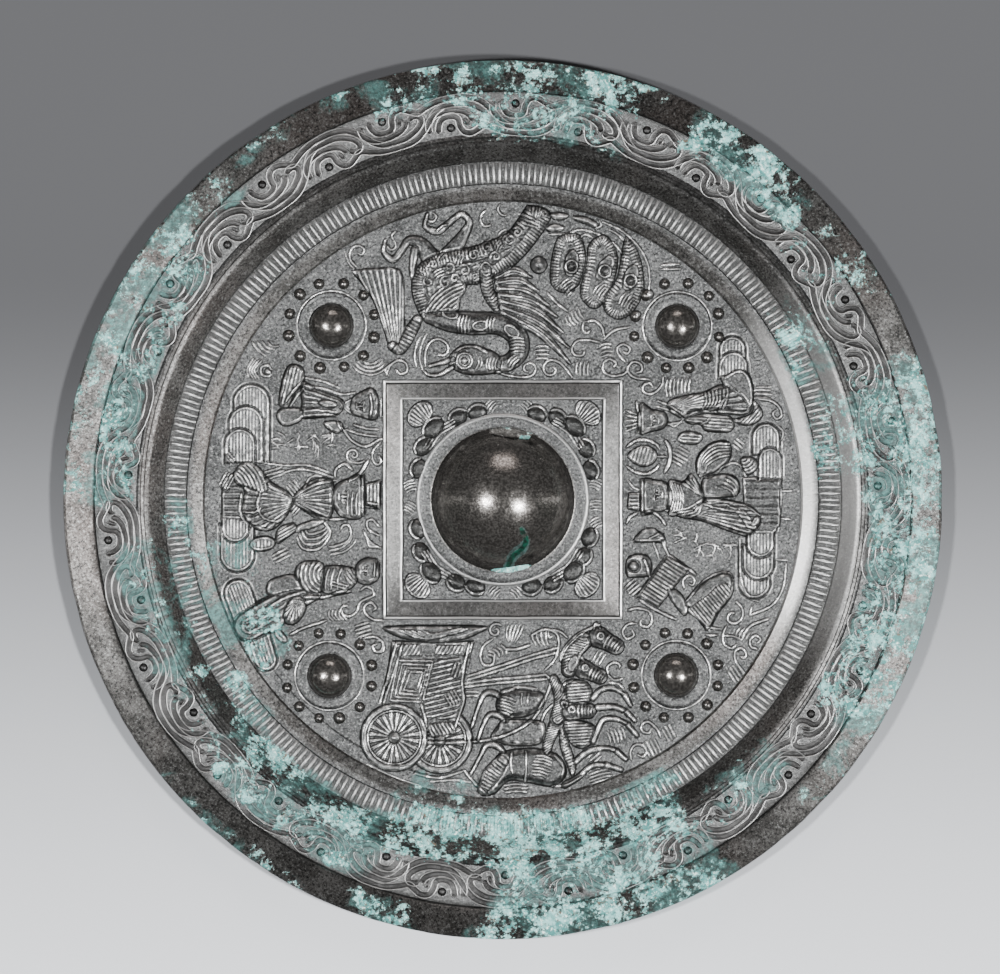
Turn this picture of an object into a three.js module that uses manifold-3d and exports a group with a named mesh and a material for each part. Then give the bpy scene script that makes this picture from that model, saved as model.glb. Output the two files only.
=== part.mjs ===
// A cast bronze mirror of the Eastern Han kind, lying on its polished face.
//
// Millimetres, +Z up. The origin is the middle of the polished face. The
// ornamented back looks up, and +Y runs along the bore of the pierced knob.
//
// The mirror is one casting, so it is one mesh: a turned disc with its rim and
// rings, a square frame round the knob, four bosses in rings of beads, and on
// the field between them the raised shapes of the picture: a dragon with its
// wings and three eyed plumes, two groups of robed figures, and a chariot
// drawn by three horses.

import * as THREE from 'three';
import { mergeVertices } from 'three/addons/utils/BufferGeometryUtils.js';
import Module from 'manifold-3d';

const wasm = await Module();
wasm.setup();

// ---------------------------------------------------------------- sizes

const MIRROR_RADIUS = 110;
const FACE_RADIUS = 109.2; // the polished face is a little smaller than the back
const TURNED_SIDES = 72;

// Heights above the polished face.
const GROUND = 3.0; // the field that the picture stands on
const PLAIN_RING_TOP = 3.7;
const COMB_TOP = 3.6;
const FRIEZE_TOP = 6.8;
const RIDGE_TOP = 7.3;
const RIM_TOP = 7.9;

// Radii of the concentric zones, from the field outwards.
const FIELD_RADIUS = 74.7;
const PLAIN_RING_RADIUS = 79;
const COMB_RADIUS = 84.7;
const SLOPE_RADIUS = 88.3;
const RIDGE_RADIUS = 89.3;
const FRIEZE_RADIUS = 91.2;
const RIM_INNER_RADIUS = 102.2;

// The knob and its round pad.
const KNOB_RADIUS = 18;
const KNOB_HEIGHT = 12;
const PAD_RADIUS = 21.7;
const PAD_TOP = 3.6;
const KNOB_SIDES = 32;

// The bore for the cord: straight sides under a half-oval arch.
const BORE_WIDTH = 9.4;
const BORE_SIDE_HEIGHT = 2.6;
const BORE_ARCH_HEIGHT = 3.2;
const BORE_X = 2; // it was cast a little off the middle of the knob

// The square frame round the knob.
const FRAME_OUTER_HALF = 30;
const FRAME_INNER_HALF = 25;
const FRAME_TOP = 4.2;

// The four bosses, each in a ring of beads.
const BOSS_OFFSET = 43.6;
const BOSS_RADIUS = 5.3;
const BOSS_HEIGHT = 4.2;
const BOSS_FLANGE_RADIUS = 8.6;
const BOSS_FLANGE_TOP = 3.4;
const BEAD_COUNT = 12;
const BEAD_CIRCLE = 11;
const BEAD_RADIUS = 1.4;
const BEAD_TOP = 4.3;

// The picture's raised shapes.
const SINK = 0.6; // how far each shape runs down into the disc below it
const LOW = 4.1;
const MIDDLE = 4.6;
const HIGH = 5.1;

// ---------------------------------------------------------------- solids

// A closed geometry as a solid for joining and cutting.
function solid(geometry) {
  const bare = geometry.clone();
  bare.deleteAttribute('normal');
  bare.deleteAttribute('uv');
  const merged = mergeVertices(bare, 1e-4);
  return new wasm.Manifold(
    new wasm.Mesh({
      numProp: 3,
      vertProperties: merged.attributes.position.array,
      triVerts: new Uint32Array(merged.index.array),
    }),
  );
}

// A solid as a geometry that three.js can draw.
function geometryOf(body) {
  const mesh = body.getMesh();
  const geometry = new THREE.BufferGeometry();
  geometry.setAttribute('position', new THREE.BufferAttribute(mesh.vertProperties, 3));
  geometry.setIndex(new THREE.BufferAttribute(mesh.triVerts, 1));
  const faceted = geometry.toNonIndexed();
  faceted.computeVertexNormals();
  return faceted;
}

// Turns a profile of [radius, height] corners, which starts and ends on the axis, about +Z.
function turned(corners, sides, x = 0, y = 0) {
  const profile = corners.map(([radius, height]) => new THREE.Vector2(radius, height));
  const geometry = new THREE.LatheGeometry(profile, sides);
  geometry.rotateX(Math.PI / 2);
  geometry.translate(x, y, 0);
  return solid(geometry);
}

// The corners of a dome's profile, from its rim up to its top on the axis.
function domeCorners(radius, foot, top, steps) {
  const corners = [];
  for (let step = 0; step <= steps; step += 1) {
    const angle = ((Math.PI / 2) * step) / steps;
    const reach = step === steps ? 0 : radius * Math.cos(angle);
    corners.push([reach, foot + (top - foot) * Math.sin(angle)]);
  }
  return corners;
}

// A flat outline raised from the disc to a height above the polished face.
function raised(shape, top, foot = GROUND - SINK) {
  const geometry = new THREE.ExtrudeGeometry(shape, {
    depth: top - foot,
    bevelEnabled: false,
    curveSegments: 6,
  });
  geometry.translate(0, 0, foot);
  return solid(geometry);
}

// ---------------------------------------------------------------- outlines of the picture

const degrees = THREE.MathUtils.degToRad;

// An oval round (x, y); its long half is turned anticlockwise from +X.
function oval(x, y, longHalf, shortHalf, turn = 0, sides = 9) {
  const curve = new THREE.EllipseCurve(
    x, y, longHalf, shortHalf, 0, 2 * Math.PI, false, degrees(turn),
  );
  const points = curve.getPoints(sides);
  points.pop();
  return new THREE.Shape(points);
}

// A curved strip through stations [x, y, width], rounded at both ends.
function strip(stations, pieces = 2 * (stations.length - 1)) {
  const line = new THREE.CatmullRomCurve3(
    stations.map(([x, y]) => new THREE.Vector3(x, y, 0)),
  );
  const left = [];
  const right = [];
  for (let piece = 0; piece <= pieces; piece += 1) {
    const along = piece / pieces;
    const place = along * (stations.length - 1);
    const before = Math.min(Math.floor(place), stations.length - 2);
    const half = THREE.MathUtils.lerp(
      stations[before][2], stations[before + 1][2], place - before,
    ) / 2;
    const point = line.getPoint(along);
    const ahead = line.getTangent(along);
    left.push(new THREE.Vector2(point.x - ahead.y * half, point.y + ahead.x * half));
    right.unshift(new THREE.Vector2(point.x + ahead.y * half, point.y - ahead.x * half));
  }
  const cap = (along, sign) => {
    const point = line.getPoint(along);
    const ahead = line.getTangent(along);
    const half = stations[along === 0 ? 0 : stations.length - 1][2] / 2;
    return new THREE.Vector2(point.x + sign * ahead.x * half, point.y + sign * ahead.y * half);
  };
  return new THREE.Shape([...left, cap(1, 1), ...right, cap(0, -1)]);
}

// A straight-sided outline through its corners.
function plate(corners) {
  return new THREE.Shape(corners.map(([x, y]) => new THREE.Vector2(x, y)));
}

// A feather from its root to its pointed tip.
function feather([rootX, rootY], [tipX, tipY], sag) {
  const middleX = (rootX + tipX) / 2;
  const middleY = (rootY + tipY) / 2 + sag;
  return strip([[rootX, rootY, 2.2], [middleX, middleY, 2.3], [tipX, tipY, 0.7]], 3);
}

// ---------------------------------------------------------------- the turned parts

function disc() {
  return turned(
    [
      [0, 0],
      [FACE_RADIUS, 0],
      [MIRROR_RADIUS, RIM_TOP - 0.7],
      [MIRROR_RADIUS - 0.7, RIM_TOP],
      [RIM_INNER_RADIUS, RIM_TOP],
      [RIM_INNER_RADIUS - 0.7, FRIEZE_TOP],
      [FRIEZE_RADIUS, FRIEZE_TOP],
      [RIDGE_RADIUS, RIDGE_TOP],
      [SLOPE_RADIUS, FRIEZE_TOP],
      [COMB_RADIUS, COMB_TOP],
      [PLAIN_RING_RADIUS, COMB_TOP - 0.1],
      [PLAIN_RING_RADIUS - 0.3, PLAIN_RING_TOP],
      [FIELD_RADIUS + 0.4, PLAIN_RING_TOP],
      [FIELD_RADIUS, GROUND],
      [0, GROUND],
    ],
    TURNED_SIDES,
  );
}

function squareFrame() {
  const corner = (half) => [[-half, -half], [half, -half], [half, half], [-half, half]];
  const ring = plate(corner(FRAME_OUTER_HALF));
  ring.holes.push(plate(corner(FRAME_INNER_HALF)));
  return raised(ring, FRAME_TOP);
}

// The pad and the knob, pierced along +Y just above the pad.
function piercedKnob() {
  const pad = turned(
    [[0, GROUND - SINK], [PAD_RADIUS, GROUND - SINK], [PAD_RADIUS, PAD_TOP], [0, PAD_TOP]],
    KNOB_SIDES,
  );
  const dome = turned(
    [[0, GROUND], ...domeCorners(KNOB_RADIUS, GROUND, GROUND + KNOB_HEIGHT, 6)],
    KNOB_SIDES,
  );
  const half = BORE_WIDTH / 2;
  const arch = new THREE.Shape();
  arch.moveTo(-half, 0);
  arch.lineTo(half, 0);
  arch.lineTo(half, BORE_SIDE_HEIGHT);
  arch.absellipse(0, BORE_SIDE_HEIGHT, half, BORE_ARCH_HEIGHT, 0, Math.PI, false, 0);
  const bore = new THREE.ExtrudeGeometry(arch, {
    depth: 2 * PAD_RADIUS,
    bevelEnabled: false,
    curveSegments: 8,
  });
  bore.rotateX(Math.PI / 2);
  bore.translate(BORE_X, PAD_RADIUS, PAD_TOP);
  return dome.subtract(solid(bore)).add(pad);
}

function bossWithBeads(x, y) {
  const foot = GROUND - SINK;
  let group = turned(
    [
      [0, foot],
      [BOSS_FLANGE_RADIUS, foot],
      [BOSS_FLANGE_RADIUS, BOSS_FLANGE_TOP],
      ...domeCorners(BOSS_RADIUS, BOSS_FLANGE_TOP, GROUND + BOSS_HEIGHT, 3),
    ],
    16, x, y,
  );
  for (let bead = 0; bead < BEAD_COUNT; bead += 1) {
    const angle = degrees((360 * (bead + 0.5)) / BEAD_COUNT);
    group = group.add(
      turned(
        [[0, foot], ...domeCorners(BEAD_RADIUS, foot, BEAD_TOP, 2)],
        6, x + BEAD_CIRCLE * Math.cos(angle), y + BEAD_CIRCLE * Math.sin(angle),
      ),
    );
  }
  return group;
}

// Round bumps along the edge of the pad, with a larger one towards each corner
// of the square.
function padPetals() {
  const petals = [];
  for (let quarter = 0; quarter < 4; quarter += 1) {
    for (const angle of [-32, -18.5, 18.5, 32]) {
      const turn = degrees(90 * quarter + angle);
      petals.push([oval((PAD_RADIUS + 0.4) * Math.cos(turn),
        (PAD_RADIUS + 0.4) * Math.sin(turn), 2, 1.5, 90 * (quarter + 1) + angle, 6), 4.3]);
    }
    const corner = degrees(90 * quarter + 45);
    petals.push([oval(26.4 * Math.cos(corner), 26.4 * Math.sin(corner),
      2.5, 2.2, 0, 8), 4.4]);
  }
  return petals;
}

// ---------------------------------------------------------------- the picture
// Each list holds [outline, height of its top].

// The dragon winds in a C above the square, its head turned back to the left.
function dragon() {
  const body = strip(
    [
      [-12, 34.2, 4.5], [-7, 34.2, 5.6], [0, 34.4, 5], [4, 37.5, 4.8], [0, 43, 5.2],
      [-7, 44, 5.4], [-14, 46, 7.5], [-17, 52, 11.5], [-11.5, 58.5, 10.5],
      [-4, 59.5, 8.5], [3, 64, 9], [8.5, 70, 8],
    ],
    18,
  );
  const legs = [
    strip([[-17, 60, 5.5], [-20.5, 64.3, 4], [-24.5, 63.5, 2.6], [-28, 61, 2.8]]),
    strip([[-12, 61, 5], [-8.7, 67, 3.4], [-10, 71, 2.2], [-17, 68.4, 3]]),
    strip([[-4, 57, 3.6], [-2.6, 52.5, 4], [-1.8, 48.3, 2.4]]),
  ];
  const beard = strip([[-20.5, 33, 1.6], [-21, 37, 2], [-19, 41, 1.4]]);
  return [
    [body, HIGH],
    ...legs.map((leg) => [leg, MIDDLE]),
    [beard, LOW],
  ];
}

// Long feathers spread from a root line on the dragon's shoulder.
function dragonWings() {
  const rootTop = [-0.5, 55.5];
  const rootFoot = [0.5, 46.5];
  const tips = [
    [6.6, 55.6], [8.8, 52.4], [11.2, 49], [13, 46], [15, 42], [16.6, 37.5], [16.4, 34],
  ];
  const right = tips.map((tip, index) => {
    const down = index / (tips.length - 1);
    const root = [
      THREE.MathUtils.lerp(rootTop[0], rootFoot[0], down),
      THREE.MathUtils.lerp(rootTop[1], rootFoot[1], down),
    ];
    return [feather(root, tip, 1.2), MIDDLE - 0.08 * index];
  });
  const left = strip([[-32, 57, 11], [-30, 49, 9], [-26.8, 39.6, 4.4]]);
  const hook = strip([[-26, 39, 3.2], [-23, 42.3, 3.2], [-21, 45.6, 2.4]]);
  return [...right, [left, LOW], [hook, MIDDLE]];
}

// Three plumes hang beside the dragon's tail, each with a round eye.
function plumes() {
  const blades = [
    strip([[17.5, 66, 5], [16.4, 60, 8.6], [15, 54.6, 6.4]]),
    strip([[25, 66, 5], [24.4, 59, 8.8], [21.8, 50.6, 6.4]]),
    strip([[30.4, 66.6, 3.4], [32.2, 58, 7], [28.8, 48.6, 7]]),
  ];
  const eyes = [[17.2, 58.6], [25.6, 57.2], [32, 54.6]];
  const pearls = [[9, 58.9, 2.1], [36.6, 51.3, 1.2], [33.5, 46.3, 1]];
  return [
    ...blades.map((blade) => [blade, MIDDLE]),
    ...eyes.map(([x, y]) => [oval(x, y, 2.1, 1.6, 80, 8), HIGH]),
    ...pearls.map(([x, y, radius]) => [oval(x, y, radius, radius, 0, 8), MIDDLE]),
  ];
}

// Rounded lobes that overlap in a row, as [x, y, long half, short half, turn].
function lobes(rows, top = LOW) {
  return rows.map(([x, y, long, short, turn], index) => (
    [oval(x, y, long, short, turn, 8), top + 0.12 * (index % 3)]
  ));
}

// A seated figure seen from the front: hat, shoulders narrowing to a sash, then
// a wide robe. `head` and `hem` are the middles of the hat and of the hem.
function robedFigure({ head, hem, hatWidth, shoulderWidth, waistWidth, hemWidth, waistAt }) {
  const along = (t) => [
    THREE.MathUtils.lerp(head[0], hem[0], t),
    THREE.MathUtils.lerp(head[1], hem[1], t),
  ];
  const robe = strip(
    [
      [...along(0.12), shoulderWidth * 0.7],
      [...along(waistAt * 0.5), shoulderWidth],
      [...along(waistAt), waistWidth],
      [...along((1 + waistAt) / 2), hemWidth * 0.85],
      [...along(1), hemWidth * 0.8],
    ],
    8,
  );
  const ahead = Math.atan2(hem[1] - head[1], hem[0] - head[0]);
  const hat = oval(head[0], head[1], hatWidth / 2, 3, THREE.MathUtils.radToDeg(ahead) + 90);
  return [[robe, MIDDLE], [hat, HIGH]];
}

// The left group: a tall figure between two attendants, feet to the rim.
function westGroup() {
  return [
    ...robedFigure({
      head: [-38.5, 0.8], hem: [-65, -0.5], hatWidth: 9.6, shoulderWidth: 8.6,
      waistWidth: 4, hemWidth: 18, waistAt: 0.5,
    }),
    ...robedFigure({
      head: [-34.2, 24], hem: [-52, 25.4], hatWidth: 6.4, shoulderWidth: 5,
      waistWidth: 7, hemWidth: 13, waistAt: 0.45,
    }),
    ...robedFigure({
      head: [-34.2, -17.8], hem: [-62, -29.5], hatWidth: 6.8, shoulderWidth: 7,
      waistWidth: 8.5, hemWidth: 9.5, waistAt: 0.5,
    }),
    [strip([[-51.4, 31.6, 4.2], [-53.4, 28, 4.8], [-54.4, 25.4, 3.2]]), HIGH],
    [oval(-53.6, 21.2, 3.2, 2.7), LOW],
    [strip([[-44, -19.5, 6], [-49.5, -18.8, 6.6], [-56, -21.4, 4]]), LOW],
    [oval(-52.2, -27.4, 4, 2.7, 62), HIGH],
    [oval(-47.6, -8.8, 4.9, 3.4, 22), LOW],
    [oval(-60, -11, 3.2, 1.9, 8), LOW],
    ...lobes([
      [-63, 24, 4.8, 4.5, 90], [-64.6, 19, 4.7, 4.3, 90], [-65.6, 13.6, 4.3, 4.1, 0],
      [-67.8, -7.2, 3.4, 2.9, 90], [-66.8, -13.6, 4.2, 3.7, 0],
      [-66.9, -24, 4.6, 3.1, -58], [-60.2, -38.4, 5, 3.1, -58],
    ]),
  ];
}

// The right group: two robed figures, a covered burner, a cushion, a kneeling
// figure behind a ribbed zither, and a long hatched leaf.
function eastGroup() {
  return [
    ...robedFigure({
      head: [38.4, 0.8], hem: [62, 1.5], hatWidth: 8.6, shoulderWidth: 8.4,
      waistWidth: 3.6, hemWidth: 9, waistAt: 0.5,
    }),
    ...robedFigure({
      head: [37.6, 20.6], hem: [58.5, 25.4], hatWidth: 7.4, shoulderWidth: 6,
      waistWidth: 2.6, hemWidth: 9.6, waistAt: 0.36,
    }),
    [strip([[47, -2.6, 2.4], [55, -4, 6.4], [61, -5, 6.8]]), HIGH],
    [strip([[46.4, 20, 1.8], [51.6, 20, 4], [56.4, 19, 3.6]]), LOW],
    [strip([[63, 24, 2.4], [63.6, 21, 3], [60, 19.8, 2]]), LOW],
    [oval(47.2, 15.4, 3, 1.7, -6, 8), LOW],
    [oval(53, 10.6, 5.2, 3.8, 38), LOW],
    [oval(61.4, 8.6, 2.8, 2.1, -12, 8), LOW],
    [oval(35.2, 10.9, 4.1, 3.6, 0), LOW],
    [strip([[40.6, 14.2, 1.2], [41.8, 10.8, 1.4], [40.6, 7.4, 1.2]]), LOW],
    [plate([[60, 5.6], [69.4, 5.8], [68.9, -7], [61, -9]]), LOW],
    ...lobes([
      [58.2, 38.2, 3.4, 2.9, 0], [58, 34.6, 3.6, 2.9, 8], [59.6, 28, 4.4, 3.2, 96],
      [66, 15.6, 3.8, 3, 0], [67.3, 10.2, 4.6, 2.7, 90],
      [65, -11.6, 3.7, 3.3, 0], [64.4, -16.6, 3.9, 3.5, 0], [63.8, -21.2, 3.8, 3.6, 0],
    ]),
    [oval(33.2, -16.6, 3.4, 2.8), MIDDLE],
    [oval(36.8, -9.4, 3.2, 2.1, 0, 8), LOW],
    [strip([[36.4, -24.6, 6.4], [43.2, -16.8, 6]], 1), MIDDLE],
    [strip([[50, -30.5, 2.6], [52, -25.4, 8.4], [56, -20.6, 3.6]], 6), LOW],
  ];
}

// A spoked wheel: its rim and hub, with the spokes lower between them.
function wheel(x, y, radius, rimWidth, spokes) {
  const rim = oval(x, y, radius, radius, 0, 18);
  rim.holes.push(oval(x, y, radius - rimWidth, radius - rimWidth, 0, 18));
  const list = [[rim, MIDDLE], [oval(x, y, 1.6, 1.6, 0, 8), HIGH]];
  for (let spoke = 0; spoke < spokes; spoke += 1) {
    const angle = (2 * Math.PI * (spoke + 0.5)) / spokes;
    const [dx, dy] = [Math.cos(angle), Math.sin(angle)];
    const [inner, outer, half] = [1.2, radius - rimWidth + 0.3, 0.3];
    list.push([
      plate([
        [x + dx * inner + dy * half, y + dy * inner - dx * half],
        [x + dx * outer + dy * half, y + dy * outer - dx * half],
        [x + dx * outer - dy * half, y + dy * outer + dx * half],
        [x + dx * inner - dy * half, y + dy * inner + dx * half],
      ]),
      LOW - 0.3,
    ]);
  }
  return list;
}

// The chariot: a canopy, a box with a square window, and two wheels.
function chariot() {
  const box = plate([
    [-27.4, -35.5], [-7.2, -35.5], [-9.6, -45], [-11.8, -57.6],
    [-19.4, -59], [-21.4, -53.6], [-30, -51.6],
  ]);
  const window = plate([[-23.8, -44.2], [-21, -44], [-21.8, -48.2], [-24.4, -47.8]]);
  return [
    [strip([[-28.5, -32.2, 1.4], [-17, -33.6, 4.6], [-5.4, -32.2, 1.4]], 8), HIGH],
    [box, LOW],
    [window, MIDDLE],
    ...wheel(-27.2, -59.6, 8.3, 1.9, 7),
    ...wheel(-15.9, -60.2, 8.2, 1.9, 7),
  ];
}

// Three horses gallop to the right, drawn by reins and a curved pole.
function horses() {
  const bodies = [
    strip([[0.5, -51.6, 6.4], [5, -50.8, 7.6], [10, -50, 4]], 5),
    strip([[0, -57, 5], [6, -57, 6], [11, -57.5, 5]], 4),
    strip([[0, -66.6, 6], [6, -67, 9], [12.6, -67, 7.4]], 6),
  ];
  const haunches = [
    strip([[-6.6, -55, 1.2], [-4.6, -49.4, 1.6], [-2.4, -48.8, 2]]),
    strip([[-5.4, -59, 1.2], [-4, -54.6, 1.6], [-1.6, -54.4, 2]]),
    strip([[-7, -67.5, 1.2], [-4, -62, 1.6], [-1, -63, 2]]),
    strip([[-5.6, -71.6, 4], [-3, -68.6, 4.6], [0, -66, 4]]),
  ];
  const necks = [
    strip([[16.6, -42.6, 5], [18.2, -37.8, 5], [22, -34.8, 5]]),
    strip([[14.4, -50.5, 4.6], [17, -46, 5], [19.6, -43, 4.4]]),
    strip([[12.4, -60, 5], [13.2, -56, 5], [15.6, -53.2, 4.4]]),
  ];
  const chests = [[18.6, -48.2, 3.8, 3.4], [18.6, -59, 4.6, 4]];
  const heads = [[24.2, -34.8], [20, -42.6], [16.6, -53.2]];
  const muzzles = [[28.2, -36.8], [23.8, -44.6], [21.8, -52.8]];
  const legs = [
    [[23, -48.6], [26.5, -47.3], [31.8, -50.6]],
    [[23.5, -52.2], [28.5, -52.4], [32.6, -54.6]],
    [[22.4, -60.4], [25, -55.4], [33.4, -58.4]],
    [[18.4, -65.8], [24, -62.4], [30.4, -64.8]],
    [[16, -70.8], [22, -67], [29, -67.4]],
  ];
  return [
    ...bodies.map((body) => [body, MIDDLE]),
    ...haunches.map((haunch) => [haunch, MIDDLE]),
    ...necks.map((neck) => [neck, MIDDLE]),
    ...chests.map(([x, y, long, short]) => [oval(x, y, long, short, 60), LOW]),
    ...heads.map(([x, y]) => [oval(x, y, 3.1, 2.5, -15, 8), HIGH]),
    ...muzzles.map(([x, y]) => [oval(x, y, 2.3, 2.1, -40, 8), MIDDLE]),
    ...legs.map((leg) => [
      strip(leg.map(([x, y], index) => [x, y, 2 - 0.4 * index]), 3), LOW,
    ]),
  ];
}

function harness() {
  const reins = [
    [[-9, -44.3, 1.3], [2, -41, 1.1], [13.4, -37.6, 1.1]],
    [[-9.4, -46.4, 1.3], [1, -45.4, 1.1], [11, -44.6, 1.1]],
    [[-8.4, -60.6, 1.2], [2, -57.6, 1.1], [9, -53, 1.1], [12, -45.4, 1.1]],
  ];
  return reins.map((rein) => [strip(rein), LOW - 0.2]);
}

// ---------------------------------------------------------------- the mirror

function mirror() {
  const picture = [
    ...padPetals(),
    ...dragon(),
    ...dragonWings(),
    ...plumes(),
    ...westGroup(),
    ...eastGroup(),
    ...chariot(),
    ...horses(),
    ...harness(),
  ];
  let body = disc().add(squareFrame()).add(piercedKnob());
  for (const side of [-1, 1]) {
    for (const end of [-1, 1]) {
      body = body.add(bossWithBeads(side * BOSS_OFFSET, end * BOSS_OFFSET));
    }
  }
  for (const [outline, top] of picture) {
    body = body.add(raised(outline, top));
  }
  const bronze = new THREE.MeshStandardMaterial({
    color: 0x6d6c68,
    roughness: 0.45,
    metalness: 0.85,
  });
  const mesh = new THREE.Mesh(geometryOf(body), bronze);
  mesh.name = 'bronze_mirror';
  return mesh;
}

const part = new THREE.Group();
part.add(mirror());

export default part;
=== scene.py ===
"""Bronze mirror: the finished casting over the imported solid.

The turned body, knob, bosses and frame are meshes of their own. The picture on
the field is drawn in a small carving language (bodies, plates, threads and
hatching on one fine grid of heights) and meshed in four quarters, because one
mesh would be too heavy. The cloud frieze is swept ribbons. Lengths are
millimetres in the CAD frame and become metres in `solid_mesh`. Only the
material, the lights and the camera are in metres from the start.
"""

import math

import bmesh
import bpy
import numpy as np
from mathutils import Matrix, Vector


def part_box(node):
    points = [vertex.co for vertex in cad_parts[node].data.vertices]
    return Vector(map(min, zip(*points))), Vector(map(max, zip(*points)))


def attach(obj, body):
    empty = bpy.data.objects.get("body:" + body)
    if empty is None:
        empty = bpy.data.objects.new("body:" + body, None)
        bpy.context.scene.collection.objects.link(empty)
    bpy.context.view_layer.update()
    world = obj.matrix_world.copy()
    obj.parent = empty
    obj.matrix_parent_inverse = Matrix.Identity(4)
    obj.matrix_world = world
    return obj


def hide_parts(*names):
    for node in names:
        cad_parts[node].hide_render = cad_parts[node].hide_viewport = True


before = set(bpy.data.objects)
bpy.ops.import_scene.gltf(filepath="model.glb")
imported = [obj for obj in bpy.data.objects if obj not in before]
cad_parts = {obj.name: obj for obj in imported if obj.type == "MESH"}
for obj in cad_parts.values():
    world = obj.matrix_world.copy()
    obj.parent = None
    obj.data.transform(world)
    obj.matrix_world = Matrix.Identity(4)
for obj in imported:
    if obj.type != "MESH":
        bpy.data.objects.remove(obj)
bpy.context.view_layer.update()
NODE = "bronze_mirror"
MM = 0.001

# ---------------------------------------------------------------- sizes, in millimetres

MIRROR_RADIUS, _, KNOB_TOP = np.array(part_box(NODE)[1]) / MM
FACE_RADIUS = MIRROR_RADIUS - 0.8

GROUND = 3.0
PLAIN_RING_TOP = 3.7
COMB_GROUND = 3.3
COMB_TOP = 3.75
FRIEZE_GROUND = 6.6
RIDGE_TOP = 7.2
RIM_TOP = 7.9
HIDDEN_FLOOR = GROUND - 0.5  # the turned body below the field, which is a mesh of its own

FIELD_RADIUS = 74.7
PLAIN_RING_RADIUS = 79.0
COMB_RADIUS = 84.7
SLOPE_RADIUS = 88.3
RIDGE_INNER_RADIUS = 88.9
RIDGE_OUTER_RADIUS = 89.6
FRIEZE_RADIUS = 91.3
RIM_INNER_RADIUS = 102.2

PAD_RADIUS = 21.7
PAD_TOP = 3.6
KNOB_RADIUS = 18.0
BORE_WIDTH = 9.4
BORE_HEIGHT = 4.4
BORE_HALF_LENGTH = 14.5
BORE_X = 2.0
CHIPPED_FROM = 13
CHIPPED, UNCHIPPED = 0.35, 0.05  # the roughness of the bore north of that, and south of it
# A run of green below the top of the knob.
STREAK = [(4.6, -7.5), (5.9, -10), (4.8, -12.2), (2.6, -14), (1.4, -16.4)]

FRAME_OUTER_HALF = 30.0
FRAME_INNER_HALF = 25.0
FRAME_TOP = 4.2

BOSS_PLACES = [(43.7, 43.5), (43.4, -43.9), (-43.4, -44.1), (-42.9, 43.7)]
BOSS_RADIUS = 5.3
BOSS_TOP = 7.2
BOSS_FLANGE_RADIUS = 8.6
BEAD_COUNT = 12
BEAD_CIRCLE = 10.9
BEAD_RADIUS = 1.42
BEAD_HEIGHT = 1.25

COMB_TEETH = 326

FRIEZE_PERIODS = 19
FRIEZE_START = 2.8
FRIEZE_MIDDLE = 96.5
CLOUD_SPREAD = 0.95
CLOUD_HEIGHT = 0.5
RIBBON_SPACING = 0.6
DOT_RADIUS = 1.1
DOT_HEIGHT = 0.7
DOT_OFFSET = 2.8

# One cloud unit: points (along, out from the frieze's middle circle) and width. The first
# ribbon hooks round the dot, crosses over the next unit and ends in the one after it.
CLOUD_RIBBONS = [
    ([(-3.3, -3.8), (-2.8, -1.6), (-1.7, -0.1), (0.4, 0.3), (1.9, -0.5), (2.3, -2.6), (3.3, -4.2),
      (5.1, -4.5), (7, -3.5), (8.6, -2.7), (10.7, -3.6), (13.2, -4.5), (16.4, -4.9), (20, -4.9),
      (22.9, -4.1), (25, -2.5), (26.8, -0.4), (28.6, 1.9), (30.7, 3.2), (32.4, 3.4), (36, 3.2),
      (38.5, 2.2), (40.3, 0.8), (41, -0.7), (40.4, -1.8), (38.9, -1.9), (38.2, -1.1)], 1.9),
    ([(-5.4, -3.4), (-5.3, -1), (-4.2, 0.6), (-2.4, 1.5), (0.4, 1.75), (2.9, 1.3), (4.7, 0.2),
      (5.6, -1.4)], 1.9),
    ([(3.6, -0.6), (4.0, -1.6), (4.3, -2.6)], 1.4),
]
# Across a ribbon: place as a share of its width, height as a share of its height, and wear with a
# painted highlight on its edges.
RIBBON_SECTION = [
    (-0.5, -0.5, 0), (-0.5, 0.9, 0.15), (-0.41, 1.0, 0.45), (-0.33, 0.8, 0),
    (0.33, 0.8, 0), (0.41, 1.0, 0.45), (0.5, 0.9, 0.15), (0.5, -0.5, 0),
]

CASTING_SEGMENTS = 600
CASTING_CORE = 40  # inside this radius the turned body has flat faces and needs no rows

CELL = 0.205  # of the grid that the picture is carved on
WEAR = 0.8  # the share of its height that a raised line has kept
TIP_WIDTH = 0.55  # the share of its width that a raised line has at its ends
TIP_LENGTH = 0.8
RIDGE_SWING = 0.55  # how far a texture's ridges swing up and down, as a share of its depth
SHOWS_THROUGH = 0.75  # a shape laid over another has at least this share of its height
DEEPEST_CUT = 0.25

PAINTED_HIGHLIGHT_SIDE = 5  # the side of the rings, in degrees from +X, where a highlight is painted on the slope and the plain ring
SEED = 7

# The values at the vertices that the material reads, besides those of the patina.
LAYERS = ("raised", "dirt_and_shade", "handled", "scraped", "worn", "ribbon")

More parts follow.
